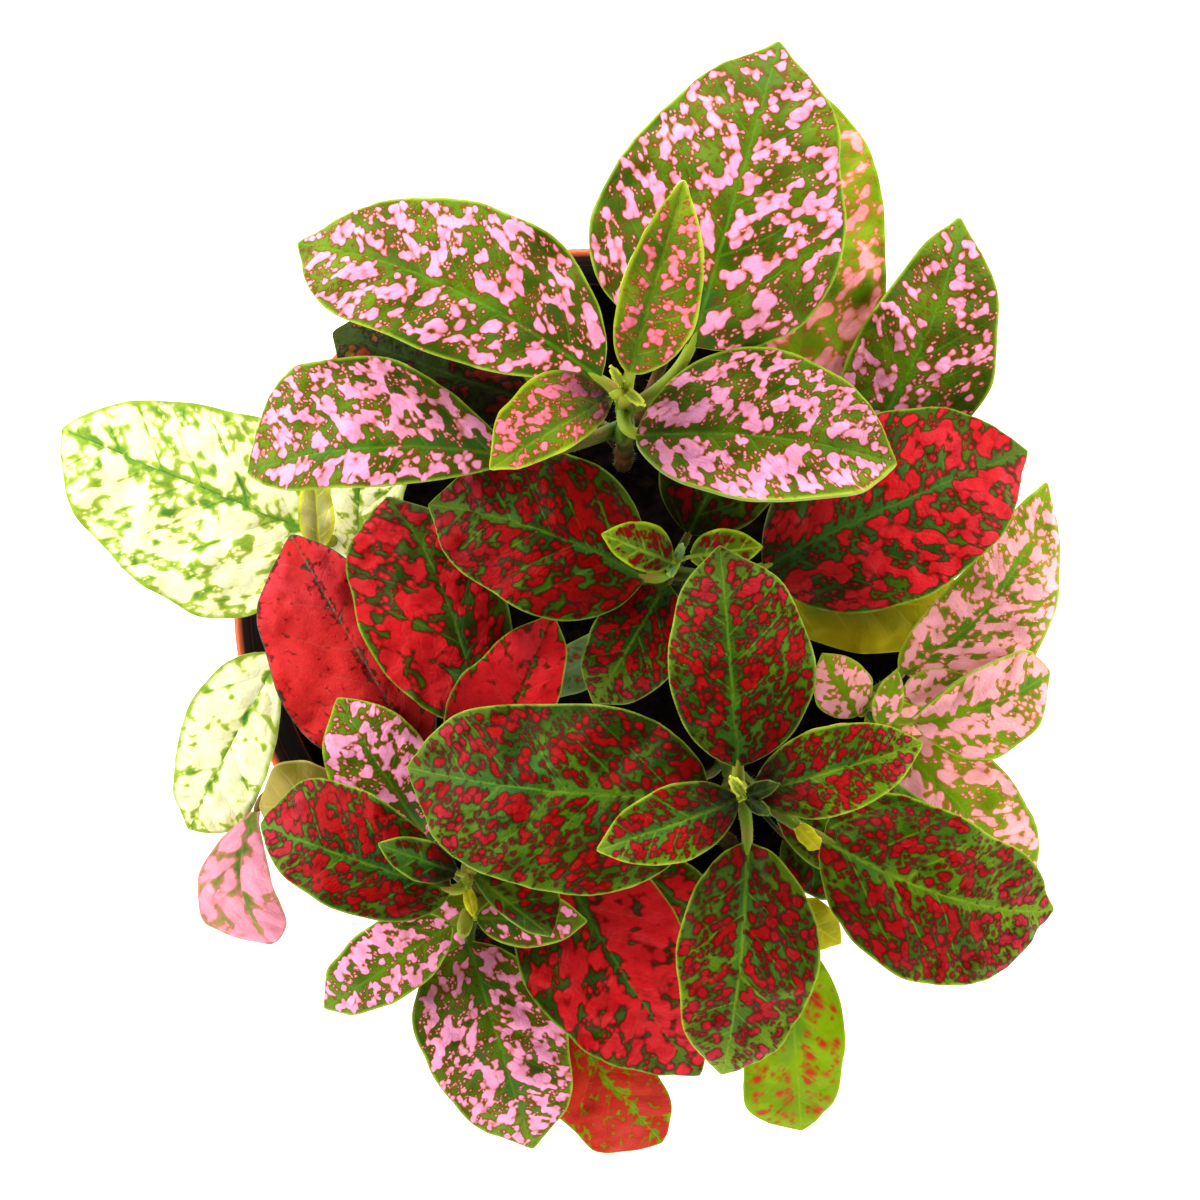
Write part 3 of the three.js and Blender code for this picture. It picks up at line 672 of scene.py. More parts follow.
def stemMaterial():
    material, add, finish = newMaterial("young stem skin")
    place = add("TexCoord")["Object"]
    age = add("Attribute", attribute_name="stemAge")["Vector"]
    share = add("SeparateXYZ", [age])["X"]
    clouds = add("TexNoise", {"Vector": place, "Scale": 160, "Detail": 3})["Fac"]
    fine = add("TexNoise", {"Vector": place, "Scale": 1500, "Detail": 2})["Fac"]
    # painted shade: low on the stem the colour darkens, where the leaves above shade it
    aboveShade = add("MapRange", [share, 0.35, 0.85])[0]
    young = add("MapRange", [share, 0.84, 1])[0]
    blushOn = add("MapRange", [clouds, 0.48, 0.72, 0, 0.7])[0]
    colour = linear(stemLook["lowShade"])
    for part, tone in (aboveShade, "green"), (young, "light"), (blushOn, "blush"):
        colour = add("Mix", {0: part, 6: colour, 7: linear(stemLook[tone])}, data_type="RGBA")[2]
    finish({
        "Base Color": colour, "Roughness": 0.5, "Specular IOR Level": 0.2,
        "Normal": add("Bump", {"Strength": 0.4, "Distance": 0.08 * mm, "Height": fine})[0],
    })
    return material


def hairMaterial():
    material, add, finish = newMaterial("fine plant hair")
    place = add("TexCoord")["Object"]
    clouds = add("TexNoise", {"Vector": place, "Scale": 400, "Detail": 2})["Fac"]
    tones = {0: clouds, 6: linear(stemLook["hairDark"]), 7: linear(stemLook["hair"])}
    finish({
        "Base Color": add("Mix", tones, data_type="RGBA")[2], "Roughness": 0.6, "Specular IOR Level": 0.2,
    })
    return material


stemSkin = stemMaterial()
hairSkin = hairMaterial()


# Plants. Sizes are in mm and follow the solids, but for a few leaves that were set finer: node is the
# height where a stalk leaves the stem, foot and tip are the blade's ends, half its half widths left and
# right, and wide the places of these along it. spots is the share of the blade that its spots cover, and
# gap the distance between them where it isn't the look's own. lean makes the spots denser towards the
# tip and the left, blunt rounds the tip, shade paints shade on the foot, and roll lifts the left and the
# right edge by so many mm.
usualLeaf = {
    "arch": 3, "bow": 0, "fold": 0, "curl": 1, "wide": 0.42, "sharp": 1.5, "spots": 0.45, "gap": None,
    "look": None, "blunt": 0.2, "shade": 0.15, "lean": (0, 0), "roll": (0, 0),
}


def leafOf(node, foot, tip, half, **changes):
    leaf = {**usualLeaf, "node": node, "foot": np.array(foot, float), "tip": np.array(tip, float),
            "half": half, **changes}
    for pair in ("half", "wide"):
        if not isinstance(leaf[pair], tuple):
            leaf[pair] = (leaf[pair], leaf[pair])
    leaf["length"] = np.linalg.norm(leaf["tip"] - leaf["foot"])
    return leaf


def budOf(node, foot, tip, half, look, spots=0):
    return leafOf(node, foot, tip, half, arch=0, fold=0.4, look=look, spots=spots)


plants = [
    {"name": "pink_back", "look": "pink", "slot": "leaf_pink",
     "stubs": [((6, 28.5, 146), (5.6, 24.8, 151.5), 1.7)],
     "foot": (6, 24), "crown": (5.8, 32, 173), "leaves": [
        leafOf(158, (16, 39, 168), (29.6, 86.5, 158), (20, 18), arch=6, curl=3, wide=(0.31, 0.36),
               spots=0.56, gap=1.6, blunt=0.3),
        leafOf(160, (2, 34, 168), (-45, 56, 152), (10.4, 14.4), arch=6, bow=-3, curl=2, wide=(0.55, 0.38),
               spots=0.62, gap=1.35),
        leafOf(161, (7.5, 25.5, 168), (47.5, 21.5, 160), (13.4, 9.7), bow=1.8, fold=0.12, spots=0.7,
               gap=1.2, shade=0.5, lean=(0, -0.1), roll=(0, 4.2)),
        leafOf(146, (-11, 22.5, 158), (-53.6, 20.6, 142), (6, 14.6), arch=5, bow=-2.6, wide=(0.5, 0.58),
               spots=0.7, gap=1.3, shade=0.4),
        leafOf(170, (6.5, 34.5, 176), (14.2, 61.5, 192), (4.7, 7.3), arch=1, fold=0.5, spots=0.5, gap=1.15,
               look="pinkYoung", blunt=0.05, lean=(0, -0.1)),
        leafOf(171, (3.5, 31, 176), (-14.5, 20, 178), (3.6, 8), fold=0.4, spots=0.66, gap=0.95,
               look="pinkYoung", shade=0.95),
        leafOf(134, (-9, 31.5, 147), (-40.5, 43, 137), (8.4, 7), spots=0.5, look="dusky", blunt=0.6,
               shade=0.6),
        leafOf(112, (14, 44, 126), (24, 74, 116), 10, arch=4, curl=2, look="pinkOld"),
        leafOf(108, (-4, 36, 122), (-24, 56, 112), 9, arch=4, curl=2, look="pinkOld"),
        budOf(171, (6.2, 31.6, 174.5), (8.6, 29.6, 177), 0.8, "olive"),
        budOf(171, (5.2, 33, 174.5), (3.6, 35.4, 176.5), 0.7, "olive"),
     ]},
    {"name": "pink_back_right", "look": "pink", "slot": "leaf_pink",
     "foot": (30, 24), "crown": (35.5, 23.5, 143), "leaves": [
        leafOf(136, (33, 31.5, 142), (36.5, 82.5, 131), (12.7, 12.9), arch=6, curl=2, spots=0.5,
               look="pinkOld"),
        leafOf(137, (43.5, 25, 142), (59, 61, 140), (9.7, 12.5), arch=5, bow=-2.2, wide=0.36, spots=0.46,
               gap=1.5),
        leafOf(118, (42, 29, 122), (61, 42, 112), 8, look="pinkOld"),
     ]},
    {"name": "red_centre", "look": "red", "slot": "leaf_red",
     "foot": (11, 3), "crown": (13.6, 6.4, 157), "leaves": [
        leafOf(146, (9, 4, 152), (-25, 15.5, 144), (12.8, 13.1), arch=5, bow=-1.7, curl=2, spots=0.72,
               gap=1.5, shade=0.3, lean=(0.03, 0.04)),
        leafOf(140, (27.5, 5.5, 152), (69.5, 24, 142), (14.6, 15), arch=6, bow=0.9, curl=2, spots=0.74,
               gap=1.6, look="scarlet", shade=0.6, lean=(0.12, -0.04)),
        leafOf(133, (16, 11, 144), (27, 34, 138), 9.5, spots=0.55, shade=0.7),
        leafOf(134, (12.5, 3, 145), (1, -16, 138), (8, 6.6), arch=4, spots=0.66, gap=1.2, shade=0.4),
        leafOf(155, (13, 6.3, 158), (2.2, 10.6, 161), (3, 4.4), arch=1, fold=0.3, spots=0.5,
               look="redYoung", shade=0.5),
        leafOf(155, (16, 7.2, 158), (27, 8.7, 160), (3.6, 2.8), arch=1, fold=0.3, look="redYoung",
               shade=0.3),
        leafOf(104, (29.5, 0.5, 118), (64, -0.5, 113), (6, 8.2), wide=0.5, sharp=1.2, spots=0,
               look="straw"),
        leafOf(112, (8, -5, 127), (-11, -15, 122), (4.2, 3.8), arch=2, spots=0.12, look="sage"),
        budOf(155, (14, 6.9, 157.6), (14.6, 9, 159.6), 0.7, "sage"),
        budOf(155, (13.3, 5.9, 157.6), (12.8, 4.2, 159.2), 0.7, "sage"),
     ]},
    {"name": "red_front_right", "look": "red", "slot": "leaf_red",
     "foot": (20, -20), "crown": (23.5, -28.7, 175), "leaves": [
        leafOf(166, (22.8, -24.5, 171), (20.2, 8.8, 166), (9.4, 12.8), arch=4, curl=2, spots=0.6, gap=1.3,
               shade=0.35),
        leafOf(160, (18.5, -29.6, 167), (-28, -25.5, 151), (16, 13.6), arch=6, bow=1, curl=2, sharp=1.25,
               spots=0.54, gap=1.5),
        leafOf(159, (24.5, -36.5, 165), (21, -73.5, 150), (12.1, 9.7), arch=6, bow=0.6, curl=2, spots=0.6,
               gap=1.45, look="redVeined", shade=0.45),
        leafOf(154, (36, -36, 163), (73, -48, 148), (12.4, 14), arch=6, bow=-2.5, curl=2.5,
               wide=(0.36, 0.45), sharp=1.35, spots=0.56, gap=1.4, look="redVeined", blunt=0.3,
               lean=(0, -0.08)),
        leafOf(172, (22.5, -29.3, 177), (1.5, -37, 175), 5.7, fold=0.32, spots=0.64, gap=1.1,
               look="redVeined", blunt=0.05, shade=0.85),
        leafOf(172, (25, -28.2, 177), (50.5, -21, 173), 6.7, fold=0.32, spots=0.62, gap=1.15,
               look="redVeined", blunt=0.1, shade=0.85),
        leafOf(122, (30, -31, 138), (58, -40, 130), 9, arch=4, curl=2),
        leafOf(118, (18, -28, 134), (-6, -31, 124), 9, arch=4, curl=2),
        budOf(172, (23.9, -28.7, 177.6), (28.6, -26.8, 180.5), (1.5, 1.2), "dusky", spots=0.45),
        budOf(172, (23.9, -29.1, 177.6), (27.4, -31.4, 180), (1.1, 1.3), "dusky", spots=0.45),
        budOf(172, (23.2, -28.4, 177.6), (21.4, -25.8, 180.5), 0.9, "olive"),
        leafOf(158, (32.2, -34, 163.4), (35.4, -37.4, 164.4), 1.5, arch=0, fold=0.3, spots=0, look="straw",
               blunt=1),
        leafOf(112, (32, -38, 124), (43, -47.5, 119), 5, arch=2, shade=0.5),
     ]},
    {"name": "red_left", "look": "scarlet", "slot": "leaf_red",
     "foot": (-14, -16), "crown": (-18, -29, 147), "leaves": [
        leafOf(134, (-17.5, -19, 144), (-32, 17, 134), (14.3, 8.9), arch=5, bow=-3, curl=2,
               wide=(0.5, 0.42), spots=0.8, gap=1.8, shade=0.4, lean=(0.02, 0.08)),
        leafOf(128, (-26, -25, 138), (-47.7, 11, 130), (14.8, 8), arch=4, curl=1.5, sharp=1.35, spots=0.97,
               gap=0.9, look="cherry", shade=0.3),
        leafOf(142, (-15.5, -27, 147), (-5.5, -1.5, 143), (10, 6), fold=0.4, wide=(0.3, 0.45), spots=0.98,
               gap=1.3, shade=0.9),
        leafOf(112, (-20, -18, 120), (-32, -2, 114), 6.5, spots=0.7),
     ]},
    {"name": "white_left", "look": "white", "slot": "leaf_white",
     "foot": (-36, 12), "crown": (-43.5, 10, 116), "leaves": [
        leafOf(109, (-45.5, 11.5, 115), (-87, 28.8, 110), (19.4, 14.4), arch=4, wide=(0.3, 0.25), sharp=0.9,
               spots=0.84, gap=1.7, blunt=0.12, shade=0),
        leafOf(102, (-51, -8.7, 111), (-67, -38, 100), (7.8, 9.2), arch=4, fold=0.1, wide=(0.6, 0.38),
               spots=0.95, gap=1.6, shade=0),
        leafOf(113, (-44, 9, 117), (-44.6, 22.5, 121), 2.9, arch=1, fold=0.5, spots=0, look="khaki",
               shade=0),
        leafOf(104, (-38.5, 3, 112), (-37, 26, 114), (6.6, 7.6), arch=1, fold=0.2, spots=0.88, gap=1.3,
               blunt=0.8, shade=0),
        leafOf(100, (-44, 7, 108), (-52, 24, 107), (5.5, 7), arch=1, spots=0.5, look="khaki"),
        leafOf(96, (-46, 12, 104), (-66, 20, 101), 7, spots=0.7),
     ]},
    {"name": "pink_left_front", "look": "pink", "slot": "leaf_pink",
     "foot": (-34, -28), "crown": (-36.5, -32, 123), "leaves": [
        leafOf(119, (-38.5, -33.4, 124), (-53.8, -33.2, 118), (5, 7.6), arch=2, wide=0.5, sharp=1.1,
               spots=0, look="tan", shade=0.3),
        leafOf(97, (-55.3, -34.8, 107), (-53.5, -57.6, 97), (5.3, 7.7), arch=1, bow=-3.7, wide=0.62,
               sharp=1.4, spots=0.86, look="rose"),
     ]},
    {"name": "red_front_left", "look": "red", "slot": "leaf_red",
     "foot": (-17, -34), "crown": (-19, -43.5, 148), "leaves": [
        leafOf(140, (-21.5, -45, 147.5), (-52, -35, 137), (8.3, 10.5), arch=5, curl=0.5, wide=(0.4, 0.52),
               sharp=1.25, spots=0.74, gap=1.3, shade=0.3, lean=(0.05, -0.05)),
        leafOf(146, (-20.5, -42, 150), (-32.5, -37.3, 152), 3.3, arch=1, fold=0.2, spots=0.6, shade=0.9),
        leafOf(144, (-17.5, -42.5, 148), (-5.7, -52.2, 146), (6.3, 2.2), arch=1, wide=(0.6, 0.5), spots=0.6,
               shade=0.6),
        budOf(145, (-18.7, -44.8, 148.6), (-17.6, -48.8, 151), 1, "straw"),
     ]},
    {"name": "pink_front", "look": "pink", "slot": "leaf_pink",
     "stubs": [((-19.2, -49.5, 134), (-19.7, -52.6, 141), 1.25)],
     "foot": (-12, -45), "crown": (-19.5, -50.5, 137), "leaves": [
        leafOf(124, (-25, -38.5, 133.5), (-39.5, -15, 140.5), (8.7, 8.4), arch=4, wide=0.45, spots=0.78,
               gap=1.15),
        leafOf(126, (-22, -51.5, 132), (-43, -66, 120), (5.6, 7.1), spots=0.76, gap=1),
        leafOf(116, (-19.3, -55, 124), (-9, -90, 112), (11.3, 12.8), arch=5, curl=2, wide=(0.45, 0.36),
               spots=0.7, gap=1.2, lean=(0.1, 0.06)),
        leafOf(132, (-17.5, -50, 138), (0, -50.3, 140), 4.4, arch=1, spots=0.5, gap=1.3),
        leafOf(98, (-17, -49, 108), (-30, -61, 102), 5.5),
        leafOf(104, (-14, -50, 116), (-14.5, -63.5, 110), 5, arch=2, look="dusky"),
     ]},
    {"name": "red_front", "look": "scarlet", "slot": "leaf_red",
     "foot": (2, -38), "crown": (-4, -38, 137), "leaves": [
        leafOf(130, (-4, -42, 135), (18.2, -76.6, 124), (12.4, 14.4), arch=5, bow=-1.1, wide=0.34,
               sharp=1.15, spots=0.89, gap=1.8, blunt=0, shade=0.3, lean=(0.1, 0.26)),
        leafOf(100, (-8.5, -63.5, 115), (12.3, -89.7, 107), (7, 10.3), wide=0.5, sharp=1.15, spots=0.9,
               gap=1.1, look="lime", shade=0.2),
        leafOf(98, (7, -43, 108), (23, -56, 102), 6, spots=0.8),
     ]},
    {"name": "green_front", "look": "lime", "slot": "leaf_green",
     "foot": (24, -41), "crown": (29, -48, 129), "leaves": [
        leafOf(122, (32, -55, 127), (35, -86.5, 116), (8.1, 8.6), arch=4, wide=(0.42, 0.6), sharp=1.2,
               spots=0.17, gap=2.3),
        leafOf(124, (32, -49, 130), (41, -55, 126), 4, arch=1, spots=0, look="straw"),
        leafOf(98, (28, -46, 108), (30.5, -66, 104), 6, spots=0.05),
     ]},
    {"name": "pale_pink_right", "look": "pale", "slot": "leaf_pale_pink",
     "foot": (38, -12), "crown": (47.5, -16.7, 134), "leaves": [
        leafOf(126, (50.5, -11, 130), (74.5, 19.5, 124), (6.8, 11.5), arch=4, bow=-4.4, wide=(0.4, 0.33),
               spots=0.8, gap=1.15, shade=0, roll=(0, -3)),
        leafOf(130, (52, -19, 134), (74.5, -11, 128.5), (6.1, 8.3), bow=-1.5, fold=0.15, wide=(0.58, 0.42),
               spots=0.84, gap=1.3, shade=0, lean=(0, 0.16), roll=(2, 0)),
        leafOf(122, (50, -22.5, 128), (73, -45.5, 118), (8.9, 8.1), arch=4, spots=0.68, shade=0),
        leafOf(128, (43.5, -18, 131), (37.5, -8, 133), 4.8, arch=1, spots=0.84, gap=1),
        leafOf(132, (46.8, -19.5, 136), (49, -10.5, 140), 2.4, arch=0.5, fold=0.3, spots=0.86, gap=0.8),
        leafOf(129, (50.5, -15, 132.4), (60.2, -11.4, 131.8), 2.8, arch=0.5, spots=0.97, gap=1, shade=0),
        leafOf(104, (46, -18, 114), (63, -30, 108), 6.5, spots=0.6),
     ]},
]
blade = {
    "thickness": 0.42,             # mm, as all sizes here
    # a blade longer than the first value has so many rows, columns and pairs of side veins
    "grids": ((30, 76, 41, 6), (18, 52, 31, 5), (8, 34, 21, 4), (0, 20, 13, 4)),
    "footHalf": 0.75, "tipHalf": 0.85,
    "fullTip": 36,                 # blades of this length or more have a full tip
    "fullRelief": 40, "mostRelief": 1.1,  # at this length the relief is full, and longer ones have more
    "rimColumns": 0.35,            # how much denser the columns lie towards the edge
    "nameSeeds": 17, "seedStep": 1.37,  # each leaf has its own seed, of its plant's name and its number
    "capLength": 1.3, "capDepth": 0.98,  # the round end
    "ripple": 0.5, "rippleTurns": 2.5, "rippleShift": 2,
    "nib": 0.2, "nibLength": 2.6,  # the drawn out tip
    "shoulderPlace": 0.87, "shoulderWidth": 0.15,  # the fuller part before it
    "waver": 0.045, "waverScale": 6, "waverEnds": 20,  # uneven outline, but not at its ends
    "rollStart": 0.45,             # from this share of the half width on an edge can roll up or down
    "rollEnds": 1.5,
    "veinAngle": 50,               # degrees between the midrib and a side vein
    "veinBow": 0.018, "veinWander": 0.3, "wanderScale": 0.11, "veinWidth": 0.4, "veinDepth": 0.14,
    "pairShift": (0.15, 0.5),      # the side veins of the two halves don't start at one place
    "veinFade": 2.5, "veinEnds": 2,  # they rise over a part of the width and the length
    "midribDepth": 0.24, "midribWidth": 0.9, "midribFade": 0.7,
    "pucker": 0.32, "puckerStart": 2.5, "unevenness": 1.3, "unevenScale": 0.13,
    "unevenStart": 3, "leastUneven": 0.15,  # at this distance from the midrib it is full
    "marginShare": 0.85,           # of the straight way to the margin, which runs aslant
    "spotStretch": 1.25,           # spots are longer along the side veins
    "meet": 0.13,                  # spots that swell run together this much before they touch
    "halfShift": 41, "leafShift": 13.7,  # other parts of the pattern for the left half and the next leaf
    "dots": (0.16, 0.26),          # small dots on a blade with few spots, and what cover adds to them
    "underStalk": 0.08,            # the stalk runs on under this share of the midrib
}


def gridOf(length):
    return next(grid[1:] for grid in blade["grids"] if length > grid[0])


def reliefOf(length):
    return min(length / blade["fullRelief"], blade["mostRelief"])


def bladeAxes(leaf):
    along = (leaf["tip"] - leaf["foot"]) / leaf["length"]
    left = unit(np.cross((0, 0, 1), along))
    return along, left, np.cross(along, left)


def outlineShare(u, wide, sharp):
    # the half width at u along the blade, as a share of the widest
    rise = sharp * wide
    fall = sharp - rise
    return (u ** rise * (1 - u) ** fall) / (wide ** rise * (1 - wide) ** fall)


def noiseAt(x, y, z, kind=noise.noise, *settings):
    points = np.stack(np.broadcast_arrays(x, y, z), axis=1)
    return np.array([kind(Vector(point), *settings) for point in points.tolist()])


def bladeSurface(leaf, look, u, v, seed):
    # points of the upper face, in mm, with what the tissue needs to know about each
    along, left, out = bladeAxes(leaf)
    length = leaf["length"]
    onLeft = v > 0
    u = np.clip(u, 1e-5, 1 - 1e-5)
    share = np.where(onLeft, *(outlineShare(u, wide, leaf["sharp"]) for wide in leaf["wide"]))
    tipHalf = blade["tipHalf"] * min(length / blade["fullTip"], 1)
    fromTip = (1 - u) * length
    endHalf = blade["footHalf"] * (1 - u) + tipHalf * u
    half = np.sqrt((np.where(onLeft, *leaf["half"]) * share) ** 2 + endHalf ** 2)
    half *= 1 - blade["nib"] * np.exp(-((fromTip / blade["nibLength"]) ** 2))
    flatness = np.clip(1 - fromTip / (blade["capLength"] * tipHalf), 0, 1)
    half *= np.sqrt(1 - blade["capDepth"] * flatness ** 2)
    shoulder = np.exp(-(((u - blade["shoulderPlace"]) / blade["shoulderWidth"]) ** 2))
    half *= 1 + leaf["blunt"] * shoulder
    waver = noiseAt(u * blade["waverScale"], seed, np.where(onLeft, 0, 9))
    half *= 1 + blade["waver"] * waver * np.clip(blade["waverEnds"] * u * (1 - u), 0, 1)
    hump = 4 * u * (1 - u)
    x, y = u * length, half * v
    turns = 2 * math.pi * blade["rippleTurns"] * u + np.where(onLeft, 0, blade["rippleShift"])
    wave = blade["ripple"] * np.sin(turns) * v * v * share
    lift = leaf["arch"] * hump + leaf["fold"] * half * abs(v) - leaf["curl"] * v * v * share + wave
    outer = np.clip((abs(v) - blade["rollStart"]) / (1 - blade["rollStart"]), 0, 1)
    lift += np.where(onLeft, *leaf["roll"]) * (outer ** 2 * np.clip(hump * blade["rollEnds"], 0, 1))

    # side veins leave the midrib forwards and bow towards the tip, a little unevenly
    spacing = length / gridOf(length)[2]
    veinAngle = math.radians(blade["veinAngle"])
    forward, sideways = math.cos(veinAngle), math.sin(veinAngle)
    slant = x - abs(y) * forward / sideways - blade["veinBow"] * y * y
    wander = noiseAt(slant * blade["wanderScale"], y * blade["wanderScale"], seed + 3)
    phase = slant / spacing + wander * blade["veinWander"] + np.where(onLeft, *blade["pairShift"])
    gap = abs(phase - np.round(phase)) * spacing
    fade = np.clip((1 - abs(v)) * blade["veinFade"], 0, 1) * np.clip(hump * blade["veinEnds"], 0, 1)
    size = reliefOf(length)
    midrib = np.exp(-((y / blade["midribWidth"]) ** 2)) * (1 - blade["midribFade"] * u)
    lift -= blade["midribDepth"] * size * midrib
    lift -= blade["veinDepth"] * size * np.exp(-((gap / blade["veinWidth"]) ** 2)) * fade
    swell = 0.5 - 0.5 * np.cos(2 * math.pi * phase)
    lift += blade["pucker"] * size * swell * fade * np.clip(abs(y) / blade["puckerStart"], 0, 1)
    uneven = noiseAt(x * blade["unevenScale"], y * blade["unevenScale"], seed, noise.fractal, 0.8, 2, 3)
    near = np.clip(abs(y) / blade["unevenStart"], blade["leastUneven"], 1)
    lift += blade["unevenness"] * size * uneven * near
    points = leaf["foot"] + np.outer(x, along) + np.outer(leaf["bow"] * hump + y, left) + np.outer(lift, out)

    # spots lie on a map turned with the side veins, with another part of the pattern on each half
    spotGap = leaf["gap"] or look["spotGap"]
    cover = leaf["spots"]
    reach = math.sqrt(-math.log(1 - cover) / math.pi) if cover else -1
    alongVein = (x * forward + abs(y) * sideways) / blade["spotStretch"]
    alongVein = (alongVein + np.where(onLeft, blade["halfShift"], 0)) / spotGap
    level = reach - blade["meet"] + leaf["lean"][0] * (2 * u - 1) + leaf["lean"][1] * v
    acrossVein = slant * sideways / spotGap
    spot = np.stack([alongVein + blade["leafShift"] * seed, acrossVein, level], axis=1)
    edge = np.stack([phase, abs(y), (half - abs(y)) * blade["marginShare"]], axis=1)
    place = np.stack([u, abs(v), np.full_like(u, leaf["shade"])], axis=1)
    least, more = blade["dots"]
    dots = (least + more * cover) * min(4 * cover, 1) if cover else -1
    return points, spot, edge, place, (spacing, dots)


def bakeMap(mesh, x, y, count, rim=0.9):
    # a flat map for textures in real proportion: the upper face on the left, the lower on the right
    flat = np.stack([y - y.min(), x - x.min()], axis=1) + 2 * rim
    wide, high = flat.max(axis=0) + 2 * rim
    vertex = np.empty(len(mesh.loops), np.int32)
    mesh.loops.foreach_get("vertex_index", vertex)
    below = vertex >= count
    starts = np.array([face.loop_start for face in mesh.polygons])
    totals = np.array([face.loop_total for face in mesh.polygons])
    belowShare = np.add.reduceat(below.astype(float), starts) / totals
    onRim = np.repeat((belowShare > 0) & (belowShare < 1), totals)
    place = flat[vertex % count]
    place[below & ~onRim] += (wide, 0)
    # the narrow faces of the edge are pushed outwards from the middle of the upper face
    push = onRim & below
    away = place[push] - (wide / 2, high / 2)
    place[push] += away / np.maximum(np.linalg.norm(away, axis=1), 1e-9)[:, None] * rim
    layer = mesh.uv_layers.new(name="OFBake")
    layer.data.foreach_set("uv", (place / max(2 * wide, high)).astype(np.float32).ravel())


def buildLeaf(plant, number, leaf):
    rows, columns, _ = gridOf(leaf["length"])
    clearSelection()
    bpy.ops.mesh.primitive_grid_add(x_subdivisions=rows, y_subdivisions=columns, size=1)
    piece = activeMesh(f"{plant['name']}_leaf_{number}")
    flat = getPoints(piece.data)
    even = flat[:, 0] + 0.5
    u = (even + (1 - np.cos(math.pi * even)) / 2) / 2
    # the two middle columns lie together on the midrib, so that each half has its own spots
    outward = np.clip((2 * abs(flat[:, 1]) - 1 / columns) / (1 - 1 / columns), 0, 1)
    denser = blade["rimColumns"]
    outward = np.sin(outward * math.pi / 2) * denser + outward * (1 - denser)
    v = np.sign(flat[:, 1]) * np.clip(outward, 0.0004, 1)
    seed = sum(map(ord, plant["name"])) % blade["nameSeeds"] + number * blade["seedStep"]
    tissueName = leaf["look"] or plant["look"]
    points, spot, edge, place, (spacing, dots) = bladeSurface(leaf, looks[tissueName], u, v, seed)
    putPoints(piece.data, points)
    count = len(points)
    solid = piece.modifiers.new("thickness", "SOLIDIFY")
    solid.thickness = blade["thickness"] * mm
    solid.offset = -1
    bpy.ops.object.modifier_apply(modifier=solid.name)
    for name, values in ("leafSpot", spot), ("leafEdge", edge), ("leafPlace", place):
        putAttribute(piece.data, name, np.vstack([values, values]))
    upper = np.repeat([1.0, 0.0], count)
    tone = np.stack([upper, np.full(2 * count, spacing), np.full(2 * count, dots)], axis=1)
    putAttribute(piece.data, "leafTone", tone)
    bakeMap(piece.data, u * leaf["length"], np.maximum(edge[:, 1], 0.08) * np.sign(v), count)
    settle(piece, 50)
    attach(piece, "plant_" + plant["name"], leafMaterials[tissueName])


def tube(points, radii):
    # a round stem or stalk along a smooth line, in mm
    clearSelection()
    bpy.ops.curve.primitive_nurbs_path_add()
    line = bpy.context.active_object.data
    line.dimensions = "3D"
    line.bevel_depth = mm
    line.bevel_resolution = 4
    line.use_fill_caps = True
    line.resolution_u = 3
    spline = line.splines[0]
    spline.points.add(len(points) - len(spline.points))
    spline.use_endpoint_u = True
    spline.order_u = 3
    for spot, place, radius in zip(spline.points, points, radii):
        spot.co = (*(place * mm), 1)
        spot.radius = radius
    bpy.ops.object.convert(target="MESH")
    return bpy.context.active_object


def stemControls(plant):
    x, y = plant["foot"]
    base = soilHeight(x, y) - stemLook["rootDepth"]
    crown = np.array(plant["crown"], float)
    return [np.array((x, y, base)), np.array((x, y, (base + crown[2]) / 2)), crown]


def stalkScale(leaf):
    least, most = stemLook["stalkScales"]
    return min(max(leaf["length"] / stemLook["usualBlade"], least), most)


def stalkControls(plant, leaf):
    base, middle, crown = stemControls(plant)
    reach = (leaf["node"] - base[2]) / (crown[2] - base[2])
    start = bezier([base, middle, crown], [reach])[0]
    along, _, out = bladeAxes(leaf)
    thick = stalkScale(leaf)
    joint = leaf["foot"] - out * (stemLook["jointDrop"] * thick + stemLook["jointGap"])
    before = joint - along * stemLook["stalkBend"] * np.linalg.norm(joint - start)
    under = blade["underStalk"]
    rise = leaf["arch"] * 4 * under * (1 - under) - stemLook["stalkTip"] * thick
    rise -= blade["thickness"] * stemLook["tipSink"]
    rise -= blade["midribDepth"] * reliefOf(leaf["length"])
    return [start, before, joint, leaf["foot"] + along * leaf["length"] * under + out * rise]


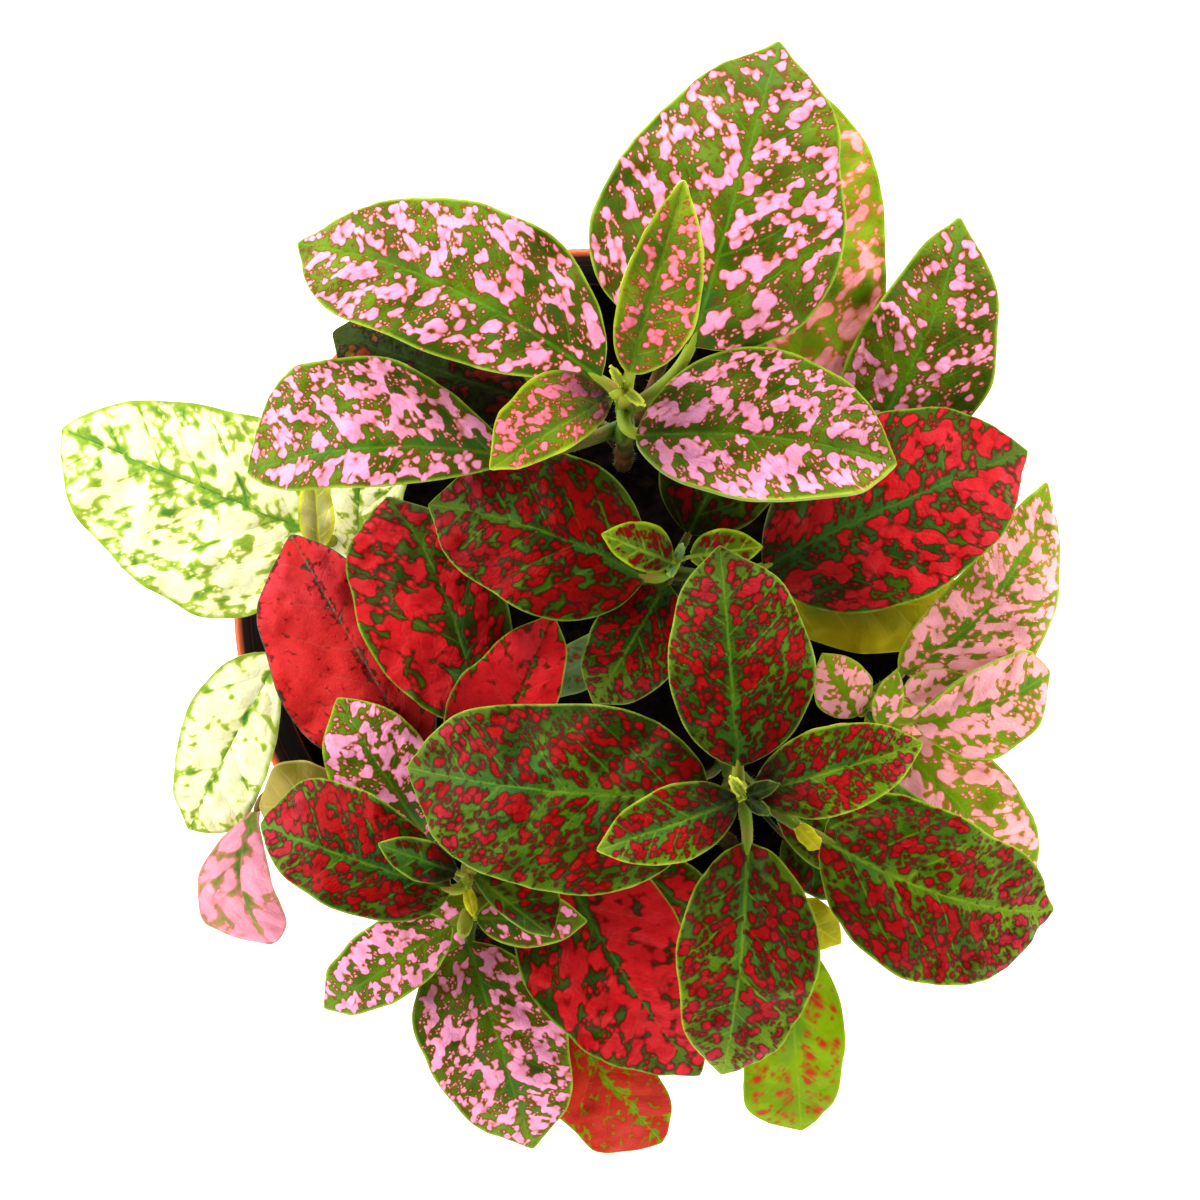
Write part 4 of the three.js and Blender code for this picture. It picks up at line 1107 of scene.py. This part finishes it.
def buildStems(plant):
    t = np.linspace(0, 1, stemLook["steps"])
    line = bezier(stemControls(plant), t)
    radii = stemLook["radius"] + (stemLook["crownRadius"] - stemLook["radius"]) * t
    for leaf in plant["leaves"]:
        away = (line[:, 2] - leaf["node"]) / stemLook["swellingReach"]
        radii += stemLook["swelling"] * np.exp(-away ** 2)
    radii = np.minimum(radii, stemLook["radius"] + stemLook["mostSwelling"])
    ending = np.clip((t - stemLook["crownStart"]) / (1 - stemLook["crownStart"]), 0, 1)
    radii = radii * (1 - ending) + stemLook["crownTip"] * ending
    foot = line[0] - np.array((0, 0, stemLook["footDepth"]))
    parts = [tube(np.vstack([foot, line]), np.append(radii[0], radii))]
    routes = [(line, radii)]
    for leaf in plant["leaves"]:
        s = np.linspace(0, 1, stemLook["stalkSteps"])
        route = bezier(stalkControls(plant, leaf), s)
        width = stemLook["stalkRadius"] + (stemLook["stalkTip"] - stemLook["stalkRadius"]) * s
        width *= stalkScale(leaf)
        parts.append(tube(route, width))
        routes.append((route, width))
    for start, end, radius in plant.get("stubs", ()):
        # the short stub that stays where a shoot was pinched out
        s = np.linspace(0, 1, stemLook["stubSteps"])
        swell = stemLook["stubSwell"]
        width = radius * (1 - swell + swell * np.sin(s * math.pi)) * (1 - stemLook["stubCap"] * s ** 8)
        parts.append(tube(bezier([start, end], s), width))
    stems = joinPieces(parts, plant["name"] + "_stem")
    settle(stems, 60)
    height = getPoints(stems.data)[:, 2] / mm
    age = np.clip((height - soil["crown"]) / (plant["crown"][2] - soil["crown"]), 0, 1)
    putAttribute(stems.data, "stemAge", np.stack([age, age, age], axis=1))
    attach(stems, "plant_" + plant["name"], stemSkin)
    return routes


def buildHairs(plant, routes):
    # one thin three sided spike, copied along the stem and the stalks
    draw = np.random.default_rng(stemLook["seed"] + len(plant["name"]))
    clearSelection()
    bpy.ops.mesh.primitive_cone_add(vertices=3, radius1=1, depth=1, location=(0, 0, 0.5),
                                    end_fill_type="NOTHING")
    bpy.ops.object.transform_apply(location=True)
    spike, faces = takeShape()
    thick = stemLook["hairRadius"]
    hairs = []
    for line, radii in routes:
        steps = np.linalg.norm(np.diff(line, axis=0), axis=1)
        marks = np.concatenate([[0], np.cumsum(steps)])
        for d in np.arange(stemLook["hairStart"], steps.sum(), stemLook["hairSpacing"]):
            i = max(min(int(np.searchsorted(marks, d)) - 1, len(steps) - 1), 0)
            share = (d - marks[i]) / steps[i]
            centre = line[i] * (1 - share) + line[i + 1] * share
            along = (line[i + 1] - line[i]) / steps[i]
            side = unit(np.cross(along, draw.normal(size=3)))
            lean = unit(side + along * draw.uniform(-stemLook["hairLean"], stemLook["hairLean"]))
            across = unit(np.cross(lean, along + 0.01))
            size = stemLook["hairLength"] * draw.uniform(*stemLook["hairLengths"])
            turn = np.stack([across * thick, np.cross(lean, across) * thick, lean * size])
            hairs.append(spike @ turn + centre + side * radii[i] * stemLook["hairSink"])
    piece = copiesPiece(plant["name"] + "_hairs", hairs, faces)
    attach(piece, "plant_" + plant["name"], hairSkin)


for plant in plants:
    for number, leaf in enumerate(plant["leaves"], 1):
        buildLeaf(plant, number, leaf)
    buildHairs(plant, buildStems(plant))
    print(plant["name"], "ready")
